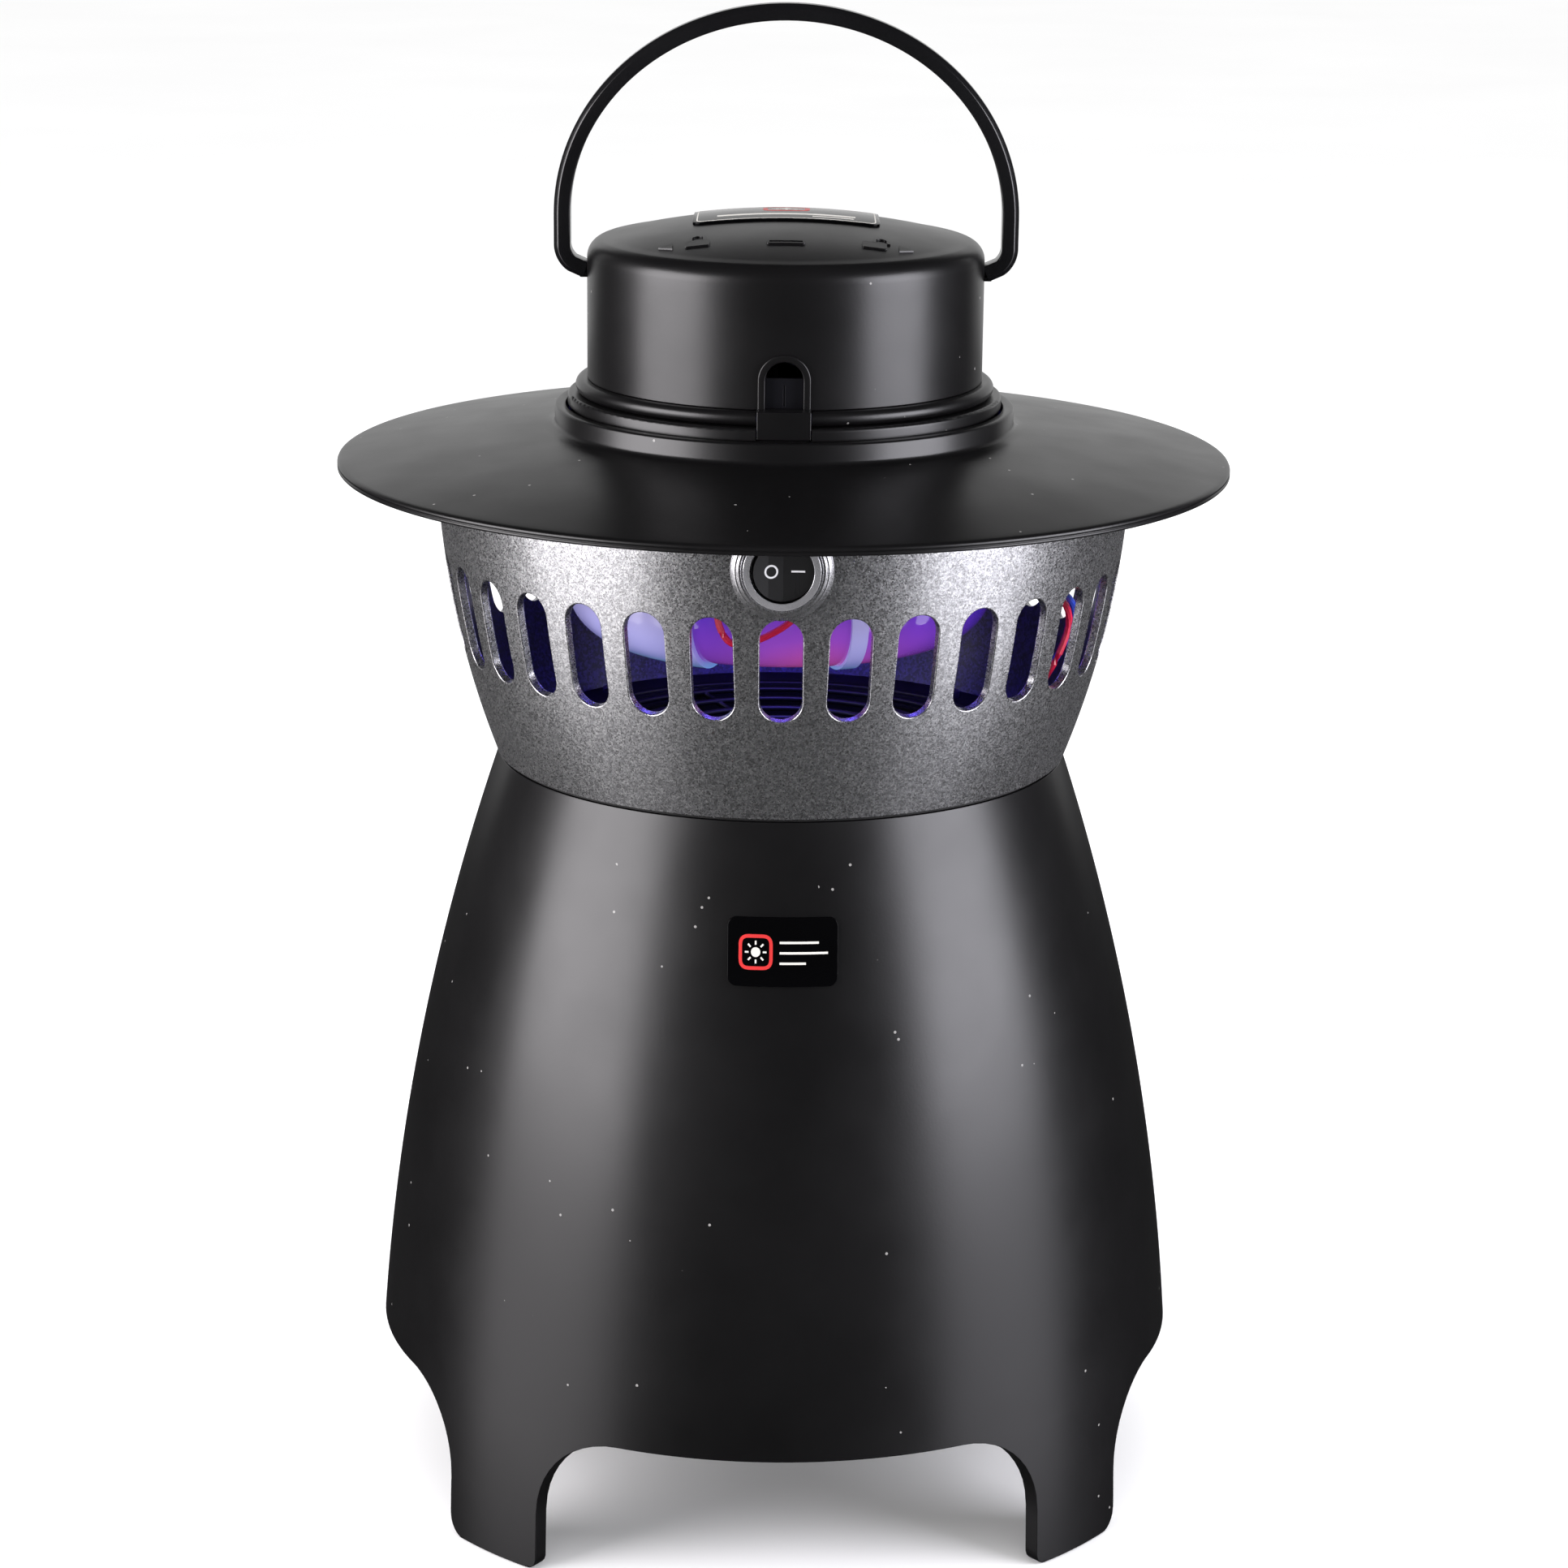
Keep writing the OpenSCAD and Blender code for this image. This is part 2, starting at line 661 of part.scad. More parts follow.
module motor_lead_blue() {
    start = [[3.9, -1.6, 83.9], [3.9, -1.8, 81], [6, -4, 77.5], [13, -7.5, 75], [30, -17, 73.5],
        [52, -29.5, 72.5], [69, -38.5, 69]];
    color([0.05, 0.1, 0.5]) wire(above_neck(concat(start, motor_run(lead_shift))), lead_r);
}

module lead_connector() {
    color([0.85, 0.85, 0.8]) translate([-5, -3.5, neck_z + 84.1]) cube([10, 7, 9]);
}

/* Cap */

skirt_r = 62.6;
cap_in_r = cap_r - 2.5;
cap_screw_r = 46;
cap_screw_azimuths = [60, 180, 300];
board_post = [[-28, -22], [28, -22], [-28, 22], [28, 22]];
porch_w = 15.2;
module cap_base() {
    color([0.07, 0.07, 0.075]) difference() {
        union() {
            disc(61, floor_z, floor_z + floor_t);
            tube(skirt_r, 60.2, floor_z - 8.5, flange_z);
            // Lower flange with a rounded edge, then the round bead above it
            rotate_extrude() union() {
                translate([54, flange_z]) square([8.4, 3.3]);
                translate([62.4, flange_z]) square([1, 2.3]);
                translate([62.4, flange_z + 2.3]) circle(r = 1, $fn = 32);
                translate([54, flange_mid_z]) square([5, 4.2]);
                translate([59, flange_mid_z + 2.1]) circle(r = 2.1, $fn = 32);
            }
            tube(54.8, 52.6, floor_z + 1, cap_wall_z + 4);
            tube(61, 54, floor_z + 1, flange_z + 1);
            around(cap_screw_azimuths) translate([0, -cap_screw_r, 0])
                disc(4, floor_z, cap_wall_z - 2);
            for (p = board_post) translate([p[0], p[1], 0]) disc(3.5, floor_z, board_z);
            for (a = lug_azimuths) sector(lug_r, skirt_r - 1, floor_z - 8.5, floor_z - 6, a, 11);
        }
        disc(7, floor_z - over, floor_z + 5);
        around(cap_screw_azimuths) translate([0, -cap_screw_r, 0]) {
            disc(1.7, floor_z - over, cap_wall_z);
            disc(3.4, floor_z - over, floor_z + 2.2);
        }
        for (p = board_post) translate([p[0], p[1], 0]) disc(1.1, board_z - 6, board_z + 1);
        // Gap for the porch of the cap
        translate([-porch_w / 2 - 0.2, -70, flange_z]) cube([porch_w + 0.4, 20, 15]);
    }
}

entry_w = 10.8;
entry_top_z = neck_z + 124.8;
module arch_2d(half, top_z, low_z) {
    union() {
        translate([0, top_z - half]) circle(r = half, $fn = 48);
        translate([-half, low_z]) square([2 * half, top_z - half - low_z]);
    }
}

module cap_profile() {
    fillet_c = [cap_r - cap_fillet, shoulder_z - cap_fillet];
    t = 2.4;
    dome = [for (r = steps(cap_r - cap_fillet, 0, 12)) [r, dome_z(r)]];
    under = [for (r = steps(0, cap_in_r - cap_fillet, 10)) [r, dome_z(r) - t]];
    polygon(concat(
        [[cap_in_r, cap_wall_z], [cap_r, cap_wall_z]],
        arc_points(fillet_c, cap_fillet, 0, 80, 7),
        dome, under,
        arc_points([cap_in_r - cap_fillet, shoulder_z - cap_fillet - t + 1], cap_fillet,
            70, 0, 5)));
}

pin_r = 2.5;
module cap_marks() {
    // Closed padlock at the left, bar in the middle, open padlock at the right
    for (side = [-1, 1]) translate([side * 25, -33]) union() {
        rounded_rect(7, 5.2, 0.8);
        translate([0, 2.4]) difference() {
            translate([side > 0 ? 2 : 0, 0]) arch_2d(2.5, 5, 0);
            translate([side > 0 ? 2 : 0, 0]) arch_2d(1.5, 4, -1);
        }
        translate([side * 9, 0]) polygon([[-2 * side, -2.6], [2 * side, 0], [-2 * side, 2.6]]);
    }
    translate([0, -35.5]) rounded_rect(11, 3, 1);
}

// Everything of a flat outline that lies between two heights above the dome
module on_dome(low, high) {
    radii = steps(0, cap_r - cap_fillet, 12);
    back = steps(cap_r - cap_fillet, 0, 12);
    intersection() {
        rotate_extrude() polygon(concat(
            [for (r = radii) [r, dome_z(r) + low]],
            [for (r = back) [r, dome_z(r) + high]]));
        translate([0, 0, shoulder_z - 5]) linear_extrude(20) children();
    }
}

module top_cap() {
    color([0.07, 0.07, 0.075]) difference() {
        union() {
            rotate_extrude() cap_profile();
            // Raised arch around the cord entry, and the porch below it
            intersection() {
                translate([0, -50, 0]) rotate([90, 0, 0]) linear_extrude(20)
                    arch_2d(7.4, neck_z + 127.3, cap_wall_z);
                tube(cap_r + 0.9, cap_r - 1, cap_wall_z, cap_wall_z + 20);
            }
            intersection() {
                translate([-porch_w / 2, -70, flange_z + 0.1])
                    cube([porch_w, 15.2, 8 - 0.1 + 0.5]);
                disc(63.2, flange_z, cap_wall_z + 0.5);
            }
            // Bosses for the bail, and posts for the screws from below
            for (side = [-1, 1]) intersection() {
                translate([side * 52.5, 0, pivot_z]) rotate([0, 90, 0])
                    cylinder(r = 5, h = 9, center = true);
                disc(cap_r - 0.5, cap_wall_z, shoulder_z);
            }
            around(cap_screw_azimuths) translate([0, -cap_screw_r, 0])
                disc(4, cap_wall_z - 1.9, shoulder_z);
            on_dome(-0.5, 0.5) cap_marks();
        }
        translate([0, -52, 0]) rotate([90, 0, 0]) linear_extrude(20)
            arch_2d(entry_w / 2, entry_top_z, cap_wall_z - 2);
        for (side = [-1, 1]) translate([side * 53, 0, pivot_z]) rotate([0, 90, 0])
            cylinder(r = pin_r + run, h = 16, center = true);
        around(cap_screw_azimuths) translate([0, -cap_screw_r, 0])
            disc(1.3, cap_wall_z - 3, cap_wall_z + 12);
    }
}

module cap_screws() {
    color("silver") around(cap_screw_azimuths) translate([0, -cap_screw_r, 0])
        screw(floor_z + 2.2, 3, 2, 1.3 - screw_gap, 18);
}

module cap_label() {
    color([0.02, 0.02, 0.025]) on_dome(0.02, 0.7) translate([0, 7.5]) rounded_rect(54, 35, 3);
}

module cord_entry_insert() {
    w = entry_w - 0.2;
    plate_h = 10.8;
    color([0.04, 0.04, 0.04]) difference() {
        translate([-w / 2, -56, cap_wall_z - 1.9]) cube([w, 2.2, plate_h]);
        translate([-0.2, -57, cap_wall_z + 1]) cube([0.4, 1.4, plate_h - 5]);
    }
}

/* Lamp */

// The connector covers this stretch of the ring, as azimuths
lamp_gap = [-78, -24];
clip_azimuths = [20.6, 120, 215];
reflector_rim_z = neck_z + 84;
module lamp_reflector() {
    post_azimuths = [0, 120, 240];
    color([0.93, 0.93, 0.95]) difference() {
        union() {
            rotate_extrude() polygon([[12, floor_z - 4], [25, floor_z - 4],
                [58, reflector_rim_z], [58.6, reflector_rim_z], [58.6, reflector_rim_z + 1.2],
                [25.6, floor_z - 2.5], [12, floor_z - 2.5]]);
            around(post_azimuths) translate([0, -20, 0]) disc(3, floor_z - 3, floor_z);
            around(clip_azimuths) translate([-3, -63.5, reflector_rim_z + 0.1])
                cube([6, 6, 1]);
        }
        disc(13, floor_z - 10, floor_z + 5);
    }
}

// Part of the ring, as a solid swept about the axis
module ring_section(r, a0, a1) {
    rotate([0, 0, a0 - 90]) rotate_extrude(angle = a1 - a0) translate([lamp_r, lamp_z])
        circle(r = r);
}

module uv_lamp() {
    color([0.5, 0.4, 1]) ring_section(tube_r, lamp_gap[1] + 0.1, lamp_gap[0] + 360 - 0.1);
}

module lamp_connector() {
    color([0.92, 0.92, 0.95]) ring_section(tube_r + 1.6, lamp_gap[0], lamp_gap[1]);
}

socket_az = (lamp_gap[0] + lamp_gap[1]) / 2;
socket_out_r = 29;
module lamp_pins() {
    color("gold") rotate([0, 0, socket_az]) for (x = [-3.5, 3.5]) for (z = [-3.5, 3.5])
        translate([x, -lamp_r + tube_r + 2.2, lamp_z + z]) rotate([-90, 0, 0])
            cylinder(r = 1.15, h = 9, $fn = 24);
}

module lamp_socket() {
    color([0.9, 0.9, 0.88]) difference() {
        rotate([0, 0, socket_az]) translate([-8, -socket_out_r, lamp_z - 8]) cube([16, 12, 16]);
        rotate([0, 0, socket_az]) for (x = [-3.5, 3.5]) for (z = [-3.5, 3.5])
            translate([x, -socket_out_r - over, lamp_z + z]) rotate([-90, 0, 0])
                cylinder(r = 1.2, h = 9, $fn = 24);
    }
}

// Spring clips that hang from the rim of the reflector and hold the tube from below
module lamp_clips() {
    w = 5;
    t = 1;
    color([0.8, 0.82, 0.86]) around(clip_azimuths) translate([w / 2, 0, 0]) rotate([90, 0, -90])
        linear_extrude(w) union() {
            difference() {
                translate([lamp_r, lamp_z]) circle(r = tube_r + 0.1 + t);
                translate([lamp_r, lamp_z]) circle(r = tube_r + 0.1);
                translate([lamp_r - 30, lamp_z + 4]) square([32, 30]);
                translate([lamp_r - 30, lamp_z - 8]) square([22, 30]);
            }
            translate([lamp_r + tube_r + 0.1, lamp_z])
                square([t, reflector_rim_z + 0.1 - lamp_z]);
        }
}

module lamp_leads() {
    color([0.9, 0.9, 0.9]) for (s = [-0.8, 0.8]) wire(above_neck([for (p = [[-17.1, -13.8, 58.1],
        [-17, -13.7, 62], [-14.5, -11.5, 70], [-10, -8, 80], [-8, -6.4, 88], [-7, -5.6, 93],
        [-4.4, -3.6, 98.5], [-3.6, -3, 103], [-4.6, -3.8, 109.8]]) p + [s, -s, 0]]), 0.9);
}

module supply_leads() {
    color([0.05, 0.1, 0.5]) for (s = [-1, 1]) wire(above_neck([[s, 1.2, 93.4],
        [s, 1.4, 97], [s * 1.2, 2.4, 103], [s * 2, 4, 109.8]]), 0.9);
}

/* Ballast */

module ballast_board() {
    color([0.1, 0.35, 0.15]) difference() {
        translate([-33, -27, board_z + 0.05]) cube([66, 54, 1.6]);
        for (p = board_post) translate([p[0], p[1], 0]) disc(1.4, board_z - 1, board_z + 4);
    }
}

board_top_z = board_z + 1.7;
module ballast_transformer() {
    color([0.75, 0.6, 0.2]) union() {
        translate([-24, -14, board_top_z]) cube([22, 20, 4]);
        translate([-22, -12, board_top_z + 4]) cube([18, 16, 11]);
        translate([-24, -14, board_top_z + 15]) cube([22, 20, 4]);
    }
}

module ballast_capacitors() {
    color([0.1, 0.12, 0.3]) {
        translate([14, 10, 0]) disc(6.3, board_top_z, board_top_z + 20);
        translate([4, 16, 0]) disc(4, board_top_z, board_top_z + 14);
        translate([8, -16, board_top_z]) cube([15, 7, 11]);
        translate([8, -6, board_top_z]) cube([13, 6, 9]);
    }
}

module terminal_block() {
    color([0.85, 0.85, 0.85]) difference() {
        translate([-20, 12, board_top_z]) cube([18, 9, 10]);
        for (x = [-17, -11, -5]) translate([x, 16.5, 0]) disc(1.8, board_top_z + 5,
            board_top_z + 12);
    }
}

module ballast_screws() {
    color("silver") for (p = board_post) translate([p[0], p[1], board_top_z])
        mirror([0, 0, 1]) screw(0, 2.4, 1.6, 1.05, 6);
}

/* Handle */

// Centreline of one half of the bail, from its top to its lower end
bail_top_z = pivot_z + 16;
bail_mid_w = bail_half_w - bail_t / 2;
bend_r = 7.2;
bend_angle = 52;
bend_c = [bail_mid_w - bend_r, pivot_z + 7.4];
function bail_half() = concat(
    [for (a = steps(90, 0, 28)) [bail_mid_w * cos(a), bail_top_z
        + (bail_rise - bail_t / 2) * sin(a)]],
    [for (a = steps(0, -bend_angle, 8)) bend_c + bend_r * [cos(a), sin(a)]],
    [[cap_r + 0.4 + 0.9, pivot_z + 0.35], [cap_r + 0.4, pivot_z]]);
function bail_path() =
    let (half = bail_half())
    concat([for (i = [len(half) - 1:-1:1]) [-half[i][0], half[i][1]]], half);
function normal_at(p, i) =
    let (d = unit(p[min(i + 1, len(p) - 1)] - p[max(i - 1, 0)]))
    [-d[1], d[0]];

module handle() {
    path = bail_path();
    last = len(path) - 1;
    outline = concat(
        [for (i = [0:last]) path[i] + normal_at(path, i) * bail_t / 2],
        [for (i = [last:-1:0]) path[i] - normal_at(path, i) * bail_t / 2]);
    color([0.04, 0.04, 0.045]) union() {
        difference() {
            rotate([90, 0, 0]) linear_extrude(bail_d, center = true) polygon(outline);
            disc(cap_r + 0.35, pivot_z - 20, pivot_z + 12);
        }
        for (side = [-1, 1]) translate([side * 55.4, 0, pivot_z]) rotate([0, 90, 0])
            cylinder(r = pin_r, h = 9, center = true);
    }
}

base_shell();
badge();
neck_gasket();
cage_ring();
brim();
brim_screws();
switch_boot();
switch_body();
switch_nut();
switch_terminals();
rocker();
fan_frame();
fan_screws();
fan_motor();
motor_bushes();
motor_shaft();
impeller();
inlet_guard();
shutter_frame();
shutter_rod();
shutter_flap_left();
shutter_flap_right();
flap_springs();
catch_tray();
tray_mesh();
switch_lead_red();
switch_lead_black();
motor_lead_red();
motor_lead_blue();
lead_connector();
cap_base();
top_cap();
cap_screws();
cap_label();
cord_entry_insert();
lamp_reflector();
uv_lamp();
lamp_connector();
lamp_pins();
lamp_socket();
lamp_clips();
lamp_leads();
supply_leads();
ballast_board();
ballast_transformer();
ballast_capacitors();
terminal_block();
ballast_screws();
handle();
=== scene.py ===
import json
import math

import bmesh
import bpy
from mathutils import Matrix, Vector


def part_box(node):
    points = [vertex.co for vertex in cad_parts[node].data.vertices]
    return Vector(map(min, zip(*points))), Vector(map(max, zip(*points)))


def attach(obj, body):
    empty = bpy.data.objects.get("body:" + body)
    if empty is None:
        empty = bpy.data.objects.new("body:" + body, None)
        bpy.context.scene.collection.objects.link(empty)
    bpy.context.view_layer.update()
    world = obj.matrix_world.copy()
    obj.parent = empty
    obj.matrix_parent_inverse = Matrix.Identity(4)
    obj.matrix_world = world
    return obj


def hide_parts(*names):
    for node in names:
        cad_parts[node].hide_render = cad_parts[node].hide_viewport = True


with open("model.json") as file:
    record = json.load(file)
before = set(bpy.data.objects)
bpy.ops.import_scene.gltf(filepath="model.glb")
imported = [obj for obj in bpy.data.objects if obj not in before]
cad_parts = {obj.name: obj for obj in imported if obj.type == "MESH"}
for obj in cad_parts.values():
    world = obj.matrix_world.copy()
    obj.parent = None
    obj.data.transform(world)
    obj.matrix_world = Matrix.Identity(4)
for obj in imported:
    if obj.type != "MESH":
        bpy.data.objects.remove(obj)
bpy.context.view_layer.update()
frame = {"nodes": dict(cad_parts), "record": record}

MM = 0.001

# Driving sizes of the visible shells, in millimetres, as the CAD has them
NECK_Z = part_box("neck_gasket")[1].z / MM
FOOT_R = 122.8
NECK_R = 84.0
BASE_BULGE = 720.0
LEG_WALL = 5.0
BASE_WALL = 3.0
LEG_HALF_ANGLE = 8.5
LEG_TURN = 2.6
ARCH_H = 43.8
ARCH_CORNER = 26.0
CAGE_H = 89.3
CAGE_TOP_R = 102.1
CAGE_BULGE = 267.7
CAGE_WALL = 2.5
SLOT_COUNT = 32
SLOT_W = 12.0
SLOT_H = 30.3
SLOT_LOW = 30.7
CAP_R = 57.7
CAP_FILLET = 5.5
CAP_CROWN = 6.5
SWITCH_Z = NECK_Z + 75.3
BRIM_Z = NECK_Z + 85.4
FLANGE_Z = NECK_Z + 103.5
CAP_WALL_Z = NECK_Z + 111.0
SHOULDER_Z = NECK_Z + 151.5
CAP_WALL = 2.4
BRIM_R = 130.7
BRIM_TOP_Z = NECK_Z + 97.5
COLLAR_R = 67.2
COLLAR_TOP_Z = NECK_Z + 103.3
PIVOT_Z = NECK_Z + 142
BADGE_Z = NECK_Z - 35.2
BADGE_AZ = 0.8
BADGE_FACE = 0.75
LABEL_FACE = 0.7
LABEL_Y = 7.5
ENTRY_Z = NECK_Z + 119.4
ENTRY_HALF = 5.4
ENTRY_FRAME = 7.4
FRAME_LIFT = 0.9
BAIL_HALF_W = 67.3
BAIL_T = 4.8
BAIL_HALF_D = 4.0
BAIL_RISE = 60.7
BAIL_BEND_R = 7.2
BAIL_LEG_H = 16.0
BAIL_BEND_H = 7.4
BAIL_BOSS_X = 50.4
PIN_X = 50.9
PIN_R = 2.5
ROCKER_Y = 100.8
ROCKER_TILT = 7.0
ROCKER_R = 8.25
TAPER_Z = 72.0
TAPER_H = 28.0
FOOT_ROUNDS = (3.5, 6.5)
COLLAR_BORE_R = 64.0
BRIM_WALL = 2.2
BRIM_SCREW_R = 91.0
CAP_SCREW_R = 46.0
PORCH_R = 63.2
PORCH_HALF = 7.6
PORCH_BACK = 56.2
LINE_PIECE = 1.2

# Looks: shift of a plastic's tone either way, strength of the surroundings, and the light boxes
TONE_SHIFT = 0.25
WORLD_BRIGHT = 1.12
WORLD_GLOSSY = 0.025
BOX_DISTANCE = 1.2


# ---------------------------------------------------------------- camera

def make_camera():
    """The viewing angle of the front view: a long lens, looking down by about 15 degrees."""
    eye = Vector((0.00115, -1.1563, 0.5307))
    target = Vector((0.00115, 0.0, 0.2097))
    data = bpy.data.cameras.new("camera")
    data.sensor_width = 36.0
    data.lens = 91.5
    data.clip_end = 50.0
    camera = bpy.data.objects.new("camera", data)
    bpy.context.scene.collection.objects.link(camera)
    look = (target - eye).to_track_quat("-Z", "Y").to_matrix().to_4x4()
    roll = Matrix.Rotation(math.radians(0.64), 4, "Z")
    camera.matrix_world = Matrix.Translation(eye) @ look @ roll
    bpy.context.scene.camera = camera


# ---------------------------------------------------------------- small geometry helpers

def arc_radius(low, high, bulge):
    """Radius as a function of height on an outward arc through low and high, both (r, z)."""
    p, q = Vector(low), Vector(high)
    d = q - p
    n = d.length
    centre = (p + q) / 2 + Vector((-d.y, d.x)) / n * math.sqrt(bulge ** 2 - n * n / 4)
    return lambda z: centre.x + math.sqrt(bulge ** 2 - (z - centre.y) ** 2)


base_r = arc_radius((FOOT_R, 0.0), (NECK_R, NECK_Z), BASE_BULGE)
cage_r = arc_radius((NECK_R + 0.7, NECK_Z), (CAGE_TOP_R, NECK_Z + CAGE_H), CAGE_BULGE)


def steps(a, b, n):
    return [a + (b - a) * i / n for i in range(n + 1)]


def polar(radius, azimuth, z):
    """A point from its azimuth in degrees, counted from the front (-Y) towards +X."""
    a = math.radians(azimuth)
    return (radius * math.sin(a), -radius * math.cos(a), z)


def make_object(name, points, faces, material, body, node=None, smooth=True):
    """A mesh piece from points in millimetres, riding on a body."""
    mesh = bpy.data.meshes.new(name)
    mesh.from_pydata([Vector(p) * MM for p in points], [], faces)
    bm = bmesh.new()
    bm.from_mesh(mesh)
    bmesh.ops.remove_doubles(bm, verts=bm.verts, dist=1e-6)
    bmesh.ops.recalc_face_normals(bm, faces=bm.faces)
    bm.to_mesh(mesh)
    bm.free()
    obj = bpy.data.objects.new(name, mesh)
    bpy.context.scene.collection.objects.link(obj)
    mesh.materials.append(material)
    for polygon in mesh.polygons:
        polygon.use_smooth = smooth
    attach(obj, body)
    if node:
        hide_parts(*([node] if isinstance(node, str) else node))
    return obj


def bevel(obj, width, segments=3, angle=35):
    """Rounds the sharp edges and keeps the flat faces flat in the shading."""
    mod = obj.modifiers.new("bevel", "BEVEL")
    mod.width = width * MM
    mod.segments = segments
    mod.limit_method = "ANGLE"
    mod.angle_limit = math.radians(angle)
    mod.harden_normals = True
    mod.use_clamp_overlap = True


def solidify(obj, thickness, group=None):
    mod = obj.modifiers.new("wall", "SOLIDIFY")
    mod.thickness = thickness * MM
    mod.offset = -1.0
    mod.use_even_offset = True
    if group:
        mod.vertex_group = group
    return mod


def fillet(points, radii, count=5):
    """Rounds the corners of a closed outline; radii holds one radius for each corner."""
    out = []
    n = len(points)
    for i, radius in enumerate(radii):
        p = Vector(points[i])
        if radius <= 0:
            out.append(tuple(p))
            continue
        before = Vector(points[i - 1]) - p
        after = Vector(points[(i + 1) % n]) - p
        reach = min(radius, before.length * 0.49, after.length * 0.49)
        a = p + before.normalized() * reach
        b = p + after.normalized() * reach
        for t in steps(0, 1, count):
            out.append(tuple((1 - t) ** 2 * a + 2 * t * (1 - t) * p + t * t * b))
    return out


def lathe_mesh(profile, segments):
    """Closed outline of (r, z) pairs turned about the axis; returns points and faces."""
    n = len(profile)
    points = []
    for k in range(segments):
        points += [polar(r, 360.0 * k / segments, z) for r, z in profile]
    return points, ring_faces(segments, n)


def ring_faces(segments, n):
    """Quads between closed outlines of n points, each joined to the next and the last to the first."""
    faces = []
    for k in range(segments):
        a, b = k * n, ((k + 1) % segments) * n
        for i in range(n):
            j = (i + 1) % n
            faces.append((a + i, b + i, b + j, a + j))
    return faces


def lathe(name, profile, material, body, node=None, segments=256):
    points, faces = lathe_mesh(profile, segments)
    return make_object(name, points, faces, material, body, node)


# ---------------------------------------------------------------- materials

class Nodes:
    """Short names for building a node material."""

    def __init__(self, name):
        self.material = bpy.data.materials.new(name)
        self.material.use_nodes = True
        self.tree = self.material.node_tree
        self.bsdf = self.tree.nodes["Principled BSDF"]
        coords = self.tree.nodes.new("ShaderNodeTexCoord")
        self.place = coords.outputs["Object"]

    def set(self, **values):
        for key, value in values.items():
            self.bsdf.inputs[key.replace("_", " ")].default_value = value

    def link(self, a, b):
        self.tree.links.new(a, b)

    def noise(self, scale, detail=3.0):
        node = self.tree.nodes.new("ShaderNodeTexNoise")
        node.inputs["Scale"].default_value = scale
        node.inputs["Detail"].default_value = detail
        self.link(self.place, node.inputs["Vector"])
        return node.outputs["Fac"]

    def cells(self, scale, output="Color"):
        node = self.tree.nodes.new("ShaderNodeTexVoronoi")
        node.inputs["Scale"].default_value = scale
        self.link(self.place, node.inputs["Vector"])
        return node.outputs[output]

    def ramp(self, value, stops):
        """stops are (position, colour or grey) pairs."""
        node = self.tree.nodes.new("ShaderNodeValToRGB")
        elements = node.color_ramp.elements
        while len(elements) < len(stops):
            elements.new(0.5)
        for element, (position, colour) in zip(elements, stops):
            element.position = position
            if isinstance(colour, (int, float)):
                colour = (colour, colour, colour)
            element.color = (*colour, 1.0)
        self.link(value, node.inputs["Fac"])
        return node.outputs["Color"]

    def math(self, operation, a, b=0.0, clamp=False):
        node = self.tree.nodes.new("ShaderNodeMath")
        node.operation = operation
        node.use_clamp = clamp
        for socket, value in zip(node.inputs, (a, b)):
            if isinstance(value, (int, float)):
                socket.default_value = value
            else:
                self.link(value, socket)
        return node.outputs[0]

    def mix(self, factor, a, b):
        node = self.tree.nodes.new("ShaderNodeMix")
        node.data_type = "RGBA"
        sockets = (node.inputs[0], node.inputs[6], node.inputs[7])
        for socket, value in zip(sockets, (factor, a, b)):
            if isinstance(value, (int, float)):
                socket.default_value = value
            elif isinstance(value, tuple):
                socket.default_value = (*value, 1.0)
            else:
                self.link(value, socket)
        return node.outputs[2]

    def bump(self, height, strength, distance):
        node = self.tree.nodes.new("ShaderNodeBump")
        node.inputs["Strength"].default_value = strength
        node.inputs["Distance"].default_value = distance
        self.link(height, node.inputs["Height"])
        return node.outputs["Normal"]

    def position(self):
        node = self.tree.nodes.new("ShaderNodeSeparateXYZ")
        self.link(self.place, node.inputs[0])
        return node.outputs

    def colour(self, value):
        self.link(value, self.bsdf.inputs["Base Color"])

    def rough(self, value):
        self.link(value, self.bsdf.inputs["Roughness"])

    def normal(self, value):
        self.link(value, self.bsdf.inputs["Normal"])


def moulded(name, colour, roughness, grain=1400.0, grain_depth=0.00003, dust=0.0):
    """Moulded plastic: fine grain, slow variation of tone and gloss, and dust specks."""
    m = Nodes(name)
    slow = m.noise(14.0, 4.0)
    fine = m.noise(grain, 2.0)
    dark = tuple(c * (1 - TONE_SHIFT) for c in colour)
    light = tuple(c * (1 + TONE_SHIFT) for c in colour)
    tone = m.ramp(slow, [(0.35, dark), (0.65, light)])
    if dust:
        specks = m.math("LESS_THAN", m.cells(150.0, "Distance"), 0.06)
        pick = m.math("GREATER_THAN", m.noise(60.0, 1.0), 0.56)
        tone = m.mix(m.math("MULTIPLY", m.math("MULTIPLY", specks, pick), dust), tone, (0.35, 0.34, 0.33))
    m.colour(tone)
    spread = m.math("MULTIPLY", m.math("SUBTRACT", m.noise(45.0, 5.0), 0.5), 0.12)
    m.rough(m.math("ADD", spread, roughness))
    m.normal(m.bump(fine, 0.35, grain_depth))
    return m


